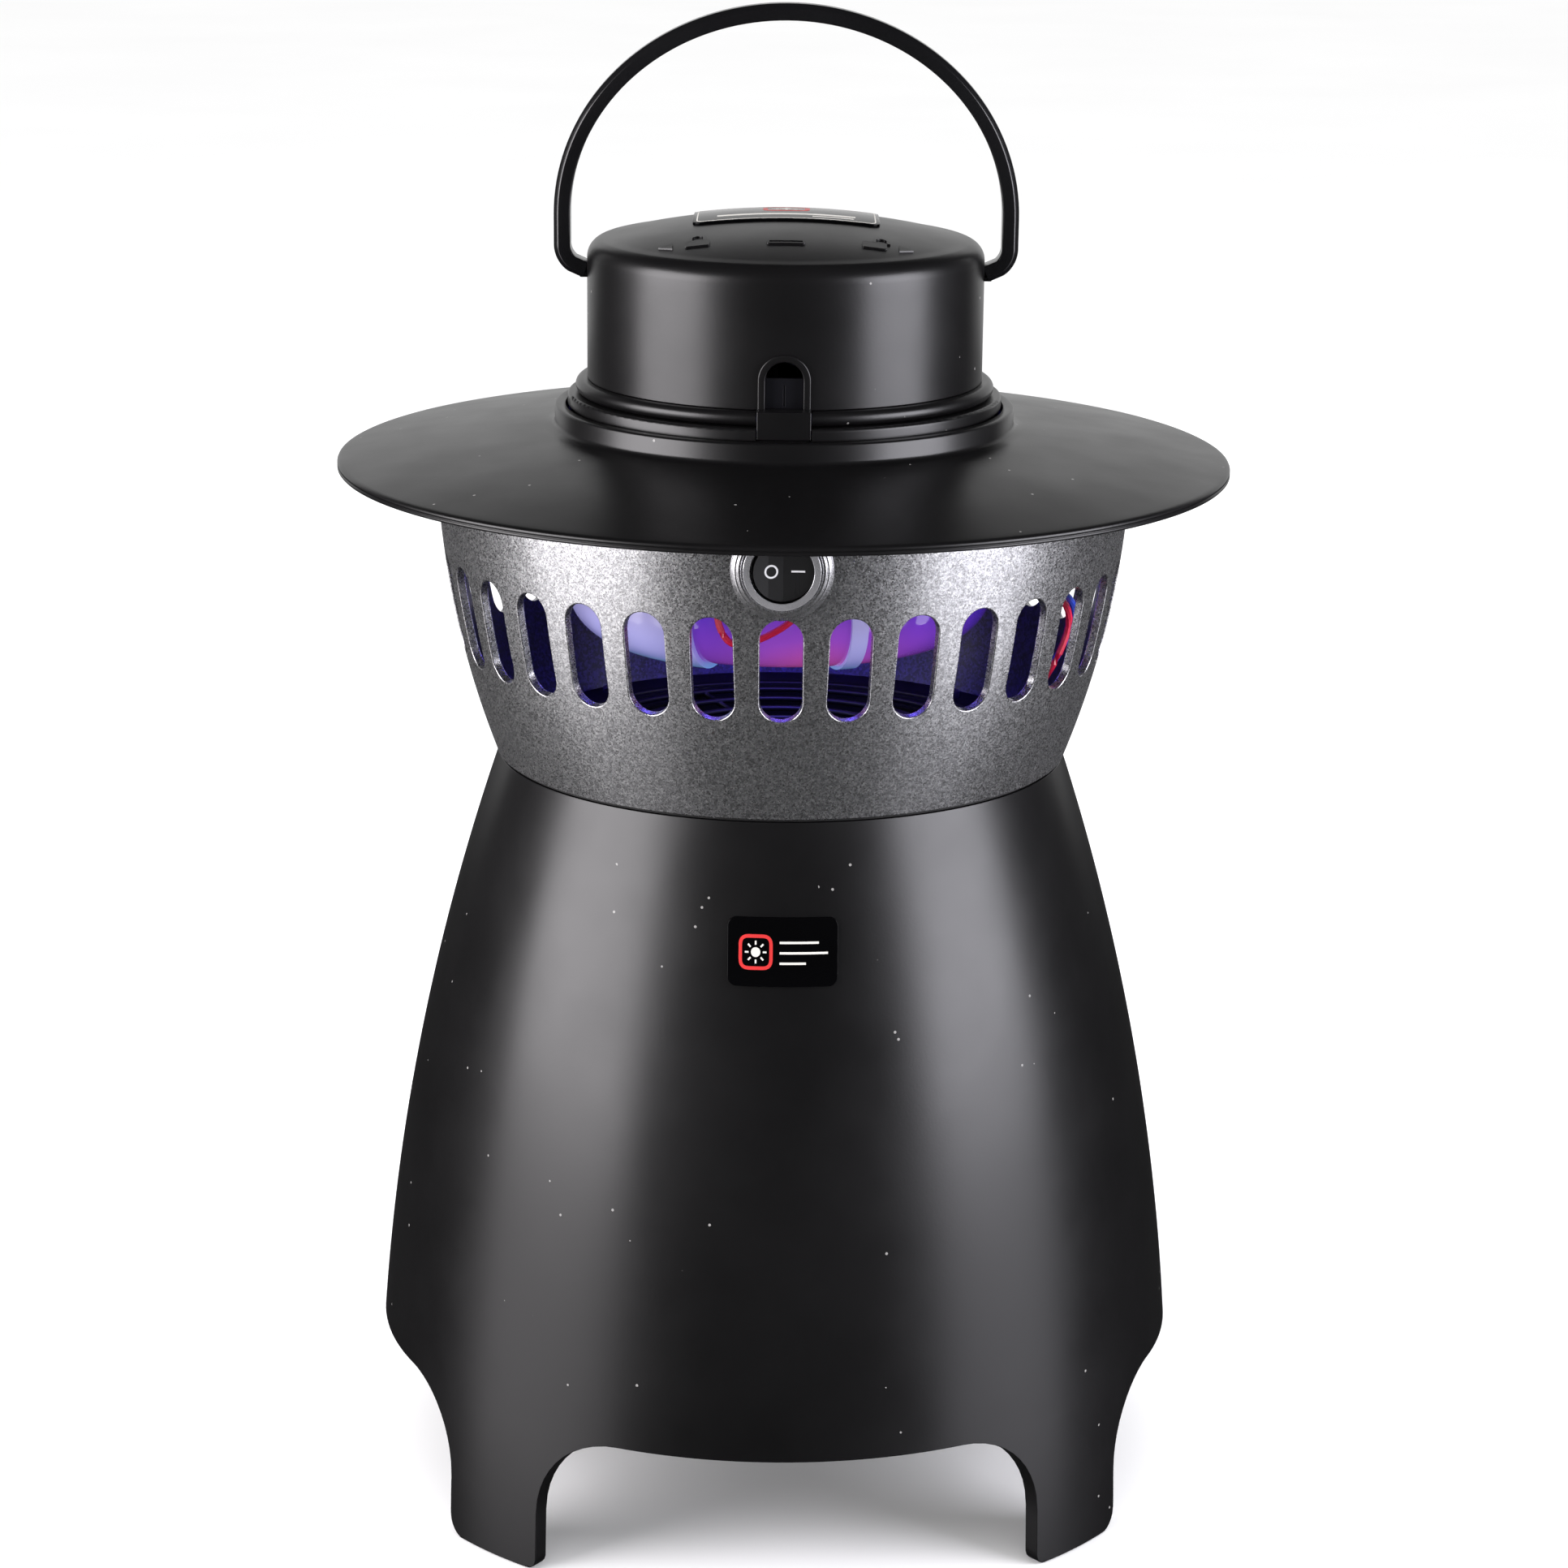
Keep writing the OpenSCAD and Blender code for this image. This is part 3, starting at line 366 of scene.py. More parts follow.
def make_materials():
    mats = {}
    m = moulded("satin_black", (0.003, 0.0028, 0.0031), 0.32, dust=0.6)
    m.set(IOR=1.5)
    mats["black_plastic"] = m.material

    m = moulded("gloss_black", (0.004, 0.004, 0.0045), 0.2, grain_depth=0.00001)
    mats["gloss_black"] = m.material

    m = moulded("label_black", (0.0012, 0.0012, 0.0014), 0.12, grain_depth=0.000003)
    m.set(IOR=1.12)
    mats["label_black"] = m.material

    mats["cage_paint"] = flake_paint()
    mats["boss_paint"] = flake_paint("boss_paint", sparkle=0.3)
    mats["cage_inside"] = cage_inside()

    m = moulded("sealing_ring", (0.5, 0.5, 0.52), 0.18, grain_depth=0.000004)
    m.set(Metallic=0.75, Coat_Weight=0.6, Coat_Roughness=0.08)
    mats["switch_ring"] = m.material

    m = moulded("switch_black", (0.006, 0.006, 0.0065), 0.42, grain=2600.0)
    mats["switch_black"] = m.material

    m = moulded("symbol_white", (0.5, 0.5, 0.52), 0.5, grain=2600.0)
    mats["symbol"] = m.material

    m = moulded("inner_black", (0.004, 0.004, 0.006), 0.42, grain_depth=0.00005)
    m.set(IOR=1.3)
    mats["dark_plastic"] = m.material

    m = moulded("flap_grey", (0.04, 0.04, 0.05), 0.4)
    mats["flap_plastic"] = m.material

    m = moulded("seal_rubber", (0.006, 0.006, 0.006), 0.75, grain=900.0)
    mats["seal_rubber"] = m.material

    for slot, colour, roughness, metallic in (
        ("steel", (0.58, 0.58, 0.6), 0.28, 1.0),
        ("motor_can", (0.42, 0.43, 0.45), 0.35, 1.0),
        ("bronze", (0.5, 0.33, 0.15), 0.45, 1.0),
        ("brass", (0.72, 0.55, 0.25), 0.25, 1.0),
        ("red_wire", (0.55, 0.012, 0.05), 0.3, 0.0),
        ("black_wire", (0.01, 0.01, 0.011), 0.35, 0.0),
        ("blue_wire", (0.02, 0.05, 0.4), 0.3, 0.0),
        ("white_wire", (0.75, 0.75, 0.75), 0.35, 0.0),
        ("circuit_board", (0.02, 0.12, 0.05), 0.35, 0.0),
        ("transformer", (0.04, 0.04, 0.045), 0.55, 0.0),
        ("capacitor", (0.02, 0.025, 0.09), 0.3, 0.0),
    ):
        m = moulded(slot, colour, roughness, grain=900.0, grain_depth=0.00002)
        m.set(Metallic=metallic)
        mats[slot] = m.material

    m = moulded("white_moulding", (0.72, 0.72, 0.8), 0.22, grain_depth=0.00001)
    m.set(Coat_Weight=0.3, Coat_Roughness=0.1)
    mats["white_plastic"] = m.material
    mats["lamp_end"] = lamp_end()

    mats["lamp_glass"] = lamp_glass()
    mats["mark_red"] = moulded("mark_red", (0.55, 0.02, 0.02), 0.35).material
    mats["mark_pale"] = moulded("mark_pale", (0.62, 0.6, 0.56), 0.4).material
    return mats


def flake_paint(name="flake_paint", sparkle=1.0):
    """Grey metallic paint: each flake is a small cell with its own tilt and brightness."""
    m = Nodes(name)
    flakes = m.cells(3000.0)
    coarse = m.cells(1500.0)
    blend = m.math("ADD", m.math("MULTIPLY", flakes, 0.6), m.math("MULTIPLY", coarse, 0.4))
    spread = 0.5 * sparkle
    tone = m.ramp(blend, [(0.25, (0.43 - 0.34 * spread,) * 3), (0.5, (0.43, 0.43, 0.445)),
                          (0.8, (0.43 + 0.62 * spread,) * 3)])
    m.colour(tone)
    m.set(Metallic=0.95)
    m.rough(m.ramp(flakes, [(0.2, 0.24), (0.8, 0.36)]))
    m.normal(m.bump(flakes, 0.4 * sparkle, 0.00003))
    return m.material


def cage_inside():
    """Inner wall of the cage: dark navy from painted shade and painted violet light, with fine speckle.
    """
    m = Nodes("cage_inside")
    # Painted shade and painted violet light: the navy to violet ramp stands in for the shadow and the
    # ultraviolet glow inside the cage.
    m.colour(m.ramp(m.cells(1500.0), [(0.3, (0.004, 0.004, 0.02)), (0.9, (0.03, 0.022, 0.12))]))
    m.rough(m.ramp(m.noise(60.0), [(0.3, 0.35), (0.7, 0.5)]))
    m.set(Metallic=0.3)
    return m.material


def lamp_end():
    """White end piece of the lamp, with painted violet light: lilac above and a painted cyan-white glow
    along its low edge.
    """
    m = Nodes("lamp_end")
    z = m.position()[2]
    # Painted light: the height mask makes the lilac tint and the cyan-white low edge that the violet glow
    # casts on the white plastic.
    low = m.math("MULTIPLY", m.math("SUBTRACT", (NECK_Z + 50) * MM, z), 55.0, True)
    m.colour(m.ramp(low, [(0.0, (0.40, 0.38, 0.62)), (0.6, (0.5, 0.5, 0.86)),
                          (1.0, (0.22, 0.5, 0.9))]))
    # Painted glow: the end piece is no lamp, yet this ramp and the emission strength below make it give
    # off light.
    glow = m.ramp(low, [(0.0, (0.12, 0.10, 0.3)), (0.7, (0.16, 0.16, 0.5)), (1.0, (0.1, 0.5, 0.8))])
    m.link(glow, m.bsdf.inputs["Emission Color"])
    m.rough(m.ramp(m.noise(80.0), [(0.3, 0.14), (0.7, 0.24)]))
    m.set(Emission_Strength=0.5, Coat_Weight=0.5, Coat_Roughness=0.05)
    return m.material


def lamp_glass():
    """Coated glass of the lamp: violet above, pinker below and to the front right."""
    m = Nodes("lamp_glass")
    x, _, z = m.position()
    low = m.math("MULTIPLY", m.math("SUBTRACT", (NECK_Z + 60) * MM, z), 38.0, True)
    side = m.math("SUBTRACT", 1.0, m.math("MULTIPLY", m.math("ABSOLUTE", m.math(
        "SUBTRACT", x, 0.008)), 24.0), True)
    pink = m.math("MULTIPLY", low, m.math("ADD", m.math("MULTIPLY", side, 0.75), 0.2), True)
    slow = m.noise(30.0, 3.0)
    tone = m.ramp(m.math("ADD", pink, m.math("MULTIPLY", m.math("SUBTRACT", slow, 0.5), 0.25)),
                  [(0.0, (0.035, 0.015, 0.30)), (0.45, (0.20, 0.045, 0.36)),
                   (1.0, (0.50, 0.07, 0.24))])
    m.colour(tone)
    m.link(tone, m.bsdf.inputs["Emission Color"])
    m.set(Emission_Strength=0.8, Roughness=0.08, Coat_Weight=1.0, Coat_Roughness=0.03)
    return m.material


# ---------------------------------------------------------------- base

def leg_half(z, foot_round):
    """Half of the angle that a leg spans at a height: round foot, straight, then arch corner."""
    per_mm = 180 / math.pi / FOOT_R
    if z < foot_round:
        rest = (foot_round - z) / foot_round
        return LEG_HALF_ANGLE - foot_round * (1 - math.sqrt(max(0.0, 1 - rest * rest))) * per_mm
    rise = ARCH_H - z
    if rise >= ARCH_CORNER:
        return LEG_HALF_ANGLE
    sine = 1 - rise / ARCH_CORNER
    return LEG_HALF_ANGLE + ARCH_CORNER * (1 - math.sqrt(max(0.0, 1 - sine * sine))) * per_mm


def make_base(mats):
    """Base shell: four leg patches below the arches, and a ring of the whole outline above."""
    leg_cols, arch_cols = 22, 26
    corner_z = [ARCH_H - ARCH_CORNER * (1 - math.sin(math.radians(a))) for a in range(10, 91, 8)]
    # The wall leans, so its inner edge reaches lower than the outer one by a tenth of a millimetre
    rows = [0.1, 0.35, 0.9, 1.8, 3.0, 4.5, 6.5, 9, 12, 15, ARCH_H - ARCH_CORNER, *corner_z]
    rows[-1] = ARCH_H
    points, faces = [], []

    def patch(columns_at, heights):
        n = None
        first = len(points)
        for z in heights:
            row = columns_at(z)
            n = len(row)
            points.extend(polar(base_r(z), a, z) for a in row)
        for j in range(len(heights) - 1):
            for i in range(n - 1):
                a = first + j * n + i
                faces.append((a, a + 1, a + n + 1, a + n))

    top_half = leg_half(ARCH_H, 1)
    for quarter in range(4):
        centre = 45 + LEG_TURN + 90 * quarter
        low_round, high_round = FOOT_ROUNDS if quarter % 2 == 0 else FOOT_ROUNDS[::-1]

        def leg_row(z, c=centre, a=low_round, b=high_round):
            return steps(c - leg_half(z, a), c + leg_half(z, b), leg_cols)

        patch(leg_row, rows)
    columns = []
    for quarter in range(4):
        centre = 45 + LEG_TURN + 90 * quarter
        columns += steps(centre - top_half, centre + top_half, leg_cols)[:-1]
        columns += steps(centre + top_half, centre + 90 - top_half, arch_cols)[:-1]
    columns.append(columns[0] + 360)
    patch(lambda z: columns, steps(ARCH_H, NECK_Z - 0.7, 60))
    shell = make_object("base_body", points, faces, mats["black_plastic"], "housing",
                        "base_shell")
    group = shell.vertex_groups.new(name="thick")
    for v in shell.data.vertices:
        t = min(1.0, max(0.0, (v.co.z / MM - TAPER_Z) / TAPER_H))
        group.add([v.index], 1.0 - t * (1 - BASE_WALL / LEG_WALL), "REPLACE")
    solidify(shell, LEG_WALL, "thick")
    bevel(shell, 0.9, 4, 50)


# ---------------------------------------------------------------- cage

def make_cage(mats):
    """Cage shell with rounded slots: each sector is a ring of faces around its slot."""
    half_sector = 180.0 / SLOT_COUNT
    r = SLOT_W / 2
    low_c = NECK_Z + SLOT_LOW + r
    high_c = NECK_Z + SLOT_LOW + SLOT_H - r
    margin = 9.5
    angles = steps(0, 180, 16)
    points, faces = [], []

    def edge_point(t):
        """Where the ray at angle t leaves the square around the slot's round end."""
        c, s = math.cos(math.radians(t)), math.sin(math.radians(t))
        m = max(abs(c), abs(s))
        return c / m, s / m

    outline = []
    for t in angles:
        c, s = math.cos(math.radians(t)), math.sin(math.radians(t))
        e = edge_point(t)
        outline.append(((r * c, high_c + r * s), (e[0] * half_sector, high_c + e[1] * margin)))
    side_steps = steps(high_c, low_c, 6)[1:-1]
    outline += [((-r, z), (-half_sector, z)) for z in side_steps]
    for t in angles:
        c, s = math.cos(math.radians(t + 180)), math.sin(math.radians(t + 180))
        e = edge_point(t + 180)
        outline.append(((r * c, low_c + r * s), (e[0] * half_sector, low_c + e[1] * margin)))
    outline += [((r, z), (half_sector, z)) for z in reversed(side_steps)]

    columns = [half_sector * edge_point(t)[0] for t in angles if 45 <= t <= 135]
    above = steps(high_c + margin, NECK_Z + CAGE_H, 14)
    below = steps(NECK_Z, low_c - margin, 14)
    rings = [0.0, 0.12, 0.4, 0.7, 1.0]
    for k in range(SLOT_COUNT):
        turn = 360.0 * k / SLOT_COUNT
        first = len(points)
        n = len(outline)
        for ring in rings:
            for (x, z0), (az1, z1) in outline:
                az0 = math.degrees(math.asin(x / cage_r(z0)))
                az = az0 + (az1 - az0) * ring
                z = z0 + (z1 - z0) * ring
                points.append(polar(cage_r(z), turn + az, z))
        for j in range(len(rings) - 1):
            for i in range(n):
                a, b = first + j * n + i, first + j * n + (i + 1) % n
                faces.append((a, b, b + n, a + n))
        for heights in (above, below):
            first = len(points)
            m = len(columns)
            for z in heights:
                points += [polar(cage_r(z), turn + az, z) for az in columns]
            for j in range(len(heights) - 1):
                for i in range(m - 1):
                    a = first + j * m + i
                    faces.append((a, a + 1, a + m + 1, a + m))
    cage = make_object("cage_shell", points, faces, mats["cage_paint"], "housing",
                       "cage_ring")
    cage.data.materials.append(mats["cage_inside"])
    wall = solidify(cage, CAGE_WALL)
    # The inner face of the wall takes the second material
    wall.material_offset = 1
    bevel(cage, 0.5, 3, 50)

    ledge = [(70, NECK_Z + 1.5), (81.9, NECK_Z + 1.5), (81.9, NECK_Z + 0.1),
             (80.3, NECK_Z + 0.1), (80.3, NECK_Z - 11), (77.3, NECK_Z - 11),
             (77.3, NECK_Z - 2.5), (70, NECK_Z - 2.5)]
    lathe("cage_ledge", fillet(ledge, [0.8, 0, 0, 0, 0.5, 0.5, 0.5, 0.8]), mats["dark_plastic"],
          "housing")

    # Boss around the switch, turned about the front-to-back axis
    profile = [(10.75, 98.0), (10.75, 103.0), (11.3, 103.7), (12.0, 103.7), (12.4, 103.1),
               (12.9, 103.1), (13.4, 102.6), (14.15, 101.8), (14.15, 97.0)]
    axis_lathe("switch_boss", fillet(profile, [0, 0.5, 0.4, 0.4, 0.3, 0.3, 0.4, 0.8, 0]),
               SWITCH_Z, mats["boss_paint"], "housing")


def axis_lathe(name, profile, z, material, body, segments=96):
    """Outline of (radius, distance in front of the axis) pairs turned about a level axis."""
    points = []
    for k in range(segments):
        t = 2 * math.pi * k / segments
        points += [(r * math.cos(t), -y, z + r * math.sin(t)) for r, y in profile]
    return make_object(name, points, ring_faces(segments, len(profile)), material, body)


# ---------------------------------------------------------------- brim and cap

def dome_z(r):
    return SHOULDER_Z + CAP_CROWN * (1 - (r / (CAP_R - CAP_FILLET)) ** 2)


def make_brim(mats):
    """Rain hat: lip with a fine double line, sloping top, collar, and screw bosses below."""
    outer = BRIM_R - 0.6

    def top_z(r):
        k = (outer - r) / (outer - COLLAR_R)
        return BRIM_Z + 2.5 + (BRIM_TOP_Z - BRIM_Z - 2.5) * k + 0.6 * math.sin(math.pi * k)

    rim = [(BRIM_R - 2, BRIM_Z), (BRIM_R - 0.3, BRIM_Z), (BRIM_R, BRIM_Z + 0.3),
           (BRIM_R, BRIM_Z + 0.75), (BRIM_R - 0.35, BRIM_Z + 0.95), (BRIM_R - 0.35, BRIM_Z + 1.1),
           (BRIM_R, BRIM_Z + 1.3), (BRIM_R, BRIM_Z + 1.75), (BRIM_R - 0.2, BRIM_Z + 2.2),
           (BRIM_R - 0.8, BRIM_Z + 2.5)]
    top = [(r, top_z(r)) for r in steps(outer - 1.0, COLLAR_R + 1.2, 26)]
    collar = [(COLLAR_R + 0.35, top_z(COLLAR_R) + 0.35), (COLLAR_R, top_z(COLLAR_R) + 1.2),
              (COLLAR_R, COLLAR_TOP_Z - 0.6), (COLLAR_R - 0.2, COLLAR_TOP_Z - 0.15),
              (COLLAR_R - 0.7, COLLAR_TOP_Z), (COLLAR_BORE_R + 0.2, COLLAR_TOP_Z),
              (COLLAR_BORE_R, COLLAR_TOP_Z - 0.2),
              (COLLAR_BORE_R, BRIM_TOP_Z - BRIM_WALL)]
    under = [(r, top_z(r) - BRIM_WALL) for r in steps(COLLAR_R - 1, BRIM_R - 3, 18)]
    lathe("brim_hat", rim + top + collar + under, mats["black_plastic"], "housing",
          "brim", 288)
    for index, azimuth in enumerate((45, 135, 225, 315)):
        x, y, _ = polar(BRIM_SCREW_R, azimuth, 0)
        low, high = NECK_Z + 80, BRIM_Z + 6.5
        profile = fillet([(1.3, low), (3.8, low), (3.8, high), (1.3, high)], [0.2, 0.4, 0, 0])
        points, faces = lathe_mesh(profile, 40)
        points = [(px + x, py + y, pz) for px, py, pz in points]
        make_object("brim_boss_%d" % index, points, faces, mats["black_plastic"], "housing")


def make_cap(mats):
    """Cap shell as one grid: a patch around the arched cord entry, and rings up to the dome."""
    arch_z, half = ENTRY_Z, ENTRY_HALF
    patch_az = 9.0
    margin = 8.0
    points, faces = [], []
    inner, outer = [], []

    def on_wall(x, z):
        return math.degrees(math.asin(x / CAP_R)), z

    low_z = steps(CAP_WALL_Z, arch_z, 8)[:-1]
    for z in low_z:
        inner.append(on_wall(half, z))
        outer.append((patch_az, z))
    for t in range(0, 181, 9):
        c, d = math.cos(math.radians(t)), math.sin(math.radians(t))
        m = max(abs(c), abs(d))
        inner.append(on_wall(half * c, arch_z + half * d))
        outer.append((patch_az * c / m, arch_z + margin * d / m))
    for z in reversed(low_z):
        inner.append(on_wall(-half, z))
        outer.append((-patch_az, z))
    rings = [0, 0.15, 0.4, 0.7, 1.0]
    n = len(inner)
    for ring in rings:
        for (a0, z0), (a1, z1) in zip(inner, outer):
            points.append(polar(CAP_R, a0 + (a1 - a0) * ring, z0 + (z1 - z0) * ring))
    for j in range(len(rings) - 1):
        for i in range(n - 1):
            a = j * n + i
            faces.append((a, a + 1, a + n + 1, a + n))

    side_z = [z for az, z in outer if abs(az - patch_az) < 1e-6]
    top_az = [az for az, z in outer if abs(z - arch_z - margin) < 1e-6]
    rest_az = steps(patch_az, 360 - patch_az, 228)

    def grid(azimuths, profile):
        first = len(points)
        m = len(azimuths)
        for r, z in profile:
            points.extend(polar(r, az, z) for az in azimuths)
        for j in range(len(profile) - 1):
            for i in range(m - 1):
                a = first + j * m + i
                faces.append((a, a + 1, a + m + 1, a + m))

    grid(rest_az, [(CAP_R, z) for z in side_z])
    fillet_z = SHOULDER_Z - CAP_FILLET
    upper = [(CAP_R, z) for z in steps(arch_z + margin, fillet_z, 6)]
    upper += [(CAP_R - CAP_FILLET + CAP_FILLET * math.cos(math.radians(a)),
               fillet_z + CAP_FILLET * math.sin(math.radians(a))) for a in range(6, 79, 6)]
    upper += [(r, dome_z(r)) for r in steps(CAP_R - CAP_FILLET - 0.6, 0.5, 30)]
    grid(sorted(top_az) + rest_az[1:], upper)
    cap = make_object("cap_shell", points, faces, mats["black_plastic"], "cap",
                      "top_cap")
    solidify(cap, CAP_WALL)
    bevel(cap, 0.35, 3, 50)

    # Raised arch around the entry
    section = fillet([(half, -1.6), (half, FRAME_LIFT), (ENTRY_FRAME, FRAME_LIFT),
                      (ENTRY_FRAME, -1.2)], [0, 0.35, 0.35, 0])
    path = [("side", 1, z) for z in steps(CAP_WALL_Z, arch_z, 6)[:-1]]
    path += [("top", t, 0) for t in range(0, 181, 6)]
    path += [("side", -1, z) for z in reversed(steps(CAP_WALL_Z, arch_z, 6)[:-1])]
    rows = []
    for kind, t, z in path:
        row = []
        for rho, lift in section:
            if kind == "side":
                x, height = t * rho, z
            else:
                x = rho * math.cos(math.radians(t))
                height = arch_z + rho * math.sin(math.radians(t))
            r = CAP_R + lift
            row.append((x, -math.sqrt(r * r - x * x), height))
        rows.append(row)
    sweep("cap_arch", rows, mats["black_plastic"], "cap")

    # Porch below it, standing in the gap of the cap base
    outline = [(x, -math.sqrt(PORCH_R ** 2 - x * x)) for x in steps(-PORCH_HALF, PORCH_HALF, 12)]
    outline += [(x, -PORCH_BACK) for x in (PORCH_HALF, 5.0, -5.0, -PORCH_HALF)]
    prism("cap_porch", outline, FLANGE_Z + 0.1, CAP_WALL_Z + 0.5, mats["black_plastic"], "cap")
    for side, name in ((-1, "left"), (1, "right")):
        profile = [(2.8, 0), (5, 0), (5, 5.2), (2.8, 5.2)]
        mesh_points, mesh_faces = lathe_mesh(profile, 40)
        mesh_points = [(side * (BAIL_BOSS_X + pz), px, PIVOT_Z + py) for px, py, pz in mesh_points]
        make_object("bail_boss_" + name, mesh_points, mesh_faces, mats["black_plastic"], "cap")
    for index, azimuth in enumerate((60, 180, 300)):
        x, y, _ = polar(CAP_SCREW_R, azimuth, 0)
        profile = [(1.3, CAP_WALL_Z - 1.9), (4, CAP_WALL_Z - 1.9), (4, SHOULDER_Z - 1),
                   (1.3, SHOULDER_Z - 1)]
        mesh_points, mesh_faces = lathe_mesh(profile, 32)
        mesh_points = [(px + x, py + y, pz) for px, py, pz in mesh_points]
        make_object("cap_post_%d" % index, mesh_points, mesh_faces, mats["black_plastic"], "cap")


def sweep(name, rows, material, body, node=None):
    """Closed sections joined one after the other, with flat ends."""
    n = len(rows[0])
    points = [p for row in rows for p in row]
    faces = []
    for j in range(len(rows) - 1):
        for i in range(n):
            a, b = j * n + i, j * n + (i + 1) % n
            faces.append((a, b, b + n, a + n))
    faces.append(tuple(range(n)))
    faces.append(tuple((len(rows) - 1) * n + i for i in range(n)))
    obj = make_object(name, points, faces, material, body, node)
    bevel(obj, 0.12, 2, 40)


def prism(name, outline, low, high, material, body):
    """An outline drawn up between two heights, with softened edges."""
    n = len(outline)
    points = [(x, y, low) for x, y in outline] + [(x, y, high) for x, y in outline]
    faces = [tuple(range(n)), tuple(range(n, 2 * n))]
    faces += [(i, (i + 1) % n, (i + 1) % n + n, i + n) for i in range(n)]
    obj = make_object(name, points, faces, material, body)
    bevel(obj, 0.3, 3, 40)


# ---------------------------------------------------------------- bail

def make_bail(mats):
    """Carrying bail: a strip on edge whose outer edges are broad chamfers that catch the light."""
    out = BAIL_T / 2
    mid_w = BAIL_HALF_W - out
    top_z = PIVOT_Z + BAIL_LEG_H
    bend_r = BAIL_BEND_R
    bend_x, bend_z = mid_w - bend_r, PIVOT_Z + BAIL_BEND_H
    half = [(mid_w * math.cos(math.radians(a)), top_z + (BAIL_RISE - out) * math.sin(math.radians(a)))
            for a in steps(90, 0, 40)]
    half += [(bend_x + bend_r * math.cos(math.radians(a)), bend_z + bend_r * math.sin(math.radians(a)))
             for a in steps(-4, -52, 12)]
    half += [(CAP_R + 1.3, PIVOT_Z + 0.35), (CAP_R + 0.4, PIVOT_Z)]
    path = [Vector((-x, z)) for x, z in reversed(half[1:])] + [Vector(p) for p in half]
    deep = BAIL_HALF_D
    section = fillet([(out, 2.5), (1.1, deep), (-out, deep), (-out, -deep), (1.1, -deep),
                      (out, -2.5)], [0.3, 0.3, 0.6, 0.6, 0.3, 0.3], 3)
    rows = []
    for i, p in enumerate(path):
        d = (path[min(i + 1, len(path) - 1)] - path[max(i - 1, 0)]).normalized()
        normal = Vector((-d.y, d.x))
        rows.append([((p + normal * s).x, depth, (p + normal * s).y) for s, depth in section])
    sweep("bail_strip", rows, mats["gloss_black"], "bail", "handle")
    for side, name in ((-1, "left"), (1, "right")):
        profile = fillet([(0.01, 0), (PIN_R, 0), (PIN_R, 9), (0.01, 9)], [0, 0.4, 0.4, 0])
        mesh_points, mesh_faces = lathe_mesh(profile, 40)
        mesh_points = [(side * (PIN_X + pz), px, PIVOT_Z + py) for px, py, pz in mesh_points]
        make_object("bail_pin_" + name, mesh_points, mesh_faces, mats["gloss_black"], "bail")


# ---------------------------------------------------------------- marks

def flat_shape(name, outlines, place, thickness, material, body):
    """Thin raised figures: convex outlines in a flat frame, laid onto a surface by place()."""
    points, faces = [], []
    for outline in outlines:
        n = len(outline)
        first = len(points)
        points += [place(u, v, 0) for u, v in outline]
        points += [place(u, v, thickness) for u, v in outline]
        faces += [tuple(first + i for i in range(n)), tuple(first + n + i for i in range(n))]
        faces += [(first + i, first + (i + 1) % n, first + (i + 1) % n + n, first + i + n)
                  for i in range(n)]
    return make_object(name, points, faces, material, body, smooth=False)


def band_outlines(path, width):
    """Quads along a polyline of (u, v) points, as a line of the given width."""
    pts = [Vector(p) for p in path]
    closed = (pts[0] - pts[-1]).length < 1e-6
    if closed:
        pts = pts[:-1]
    n = len(pts)
    offsets = []
    for i in range(n):
        a = pts[i - 1] if closed or i else pts[i]
        b = pts[(i + 1) % n] if closed or i < n - 1 else pts[i]
        d = (b - a).normalized()
        offsets.append(Vector((-d.y, d.x)) * width / 2)
    out = []
    for i in range(n if closed else n - 1):
        j = (i + 1) % n
        out.append([tuple(pts[i] + offsets[i]), tuple(pts[j] + offsets[j]),
                    tuple(pts[j] - offsets[j]), tuple(pts[i] - offsets[i])])
    return out


def round_rect(cx, cy, w, h, r, count=5):
    corners = [(cx - w / 2, cy - h / 2), (cx + w / 2, cy - h / 2),
               (cx + w / 2, cy + h / 2), (cx - w / 2, cy + h / 2)]
    return fillet(corners, [r] * 4, count)


def closed_line(outline, width):
    """A line round an outline, in pieces short enough to follow a curved surface."""
    path = []
    for a, b in zip(outline, outline[1:] + outline[:1]):
        count = max(1, math.ceil(math.dist(a, b) / LINE_PIECE))
        path += [(a[0] + (b[0] - a[0]) * i / count, a[1] + (b[1] - a[1]) * i / count)
                 for i in range(count)]
    return band_outlines(path + [path[0]], width)


def circle(cx, cy, r, count=32):
    return [(cx + r * math.cos(2 * math.pi * i / count), cy + r * math.sin(2 * math.pi * i / count))
            for i in range(count)]


def bar(u, v, w, h, n):
    """A bar cut into short strips, so that it can follow a curved surface."""
    xs = steps(u - w / 2, u + w / 2, n)
    return [[(a, v - h / 2), (b, v - h / 2), (b, v + h / 2), (a, v + h / 2)]
            for a, b in zip(xs, xs[1:])]


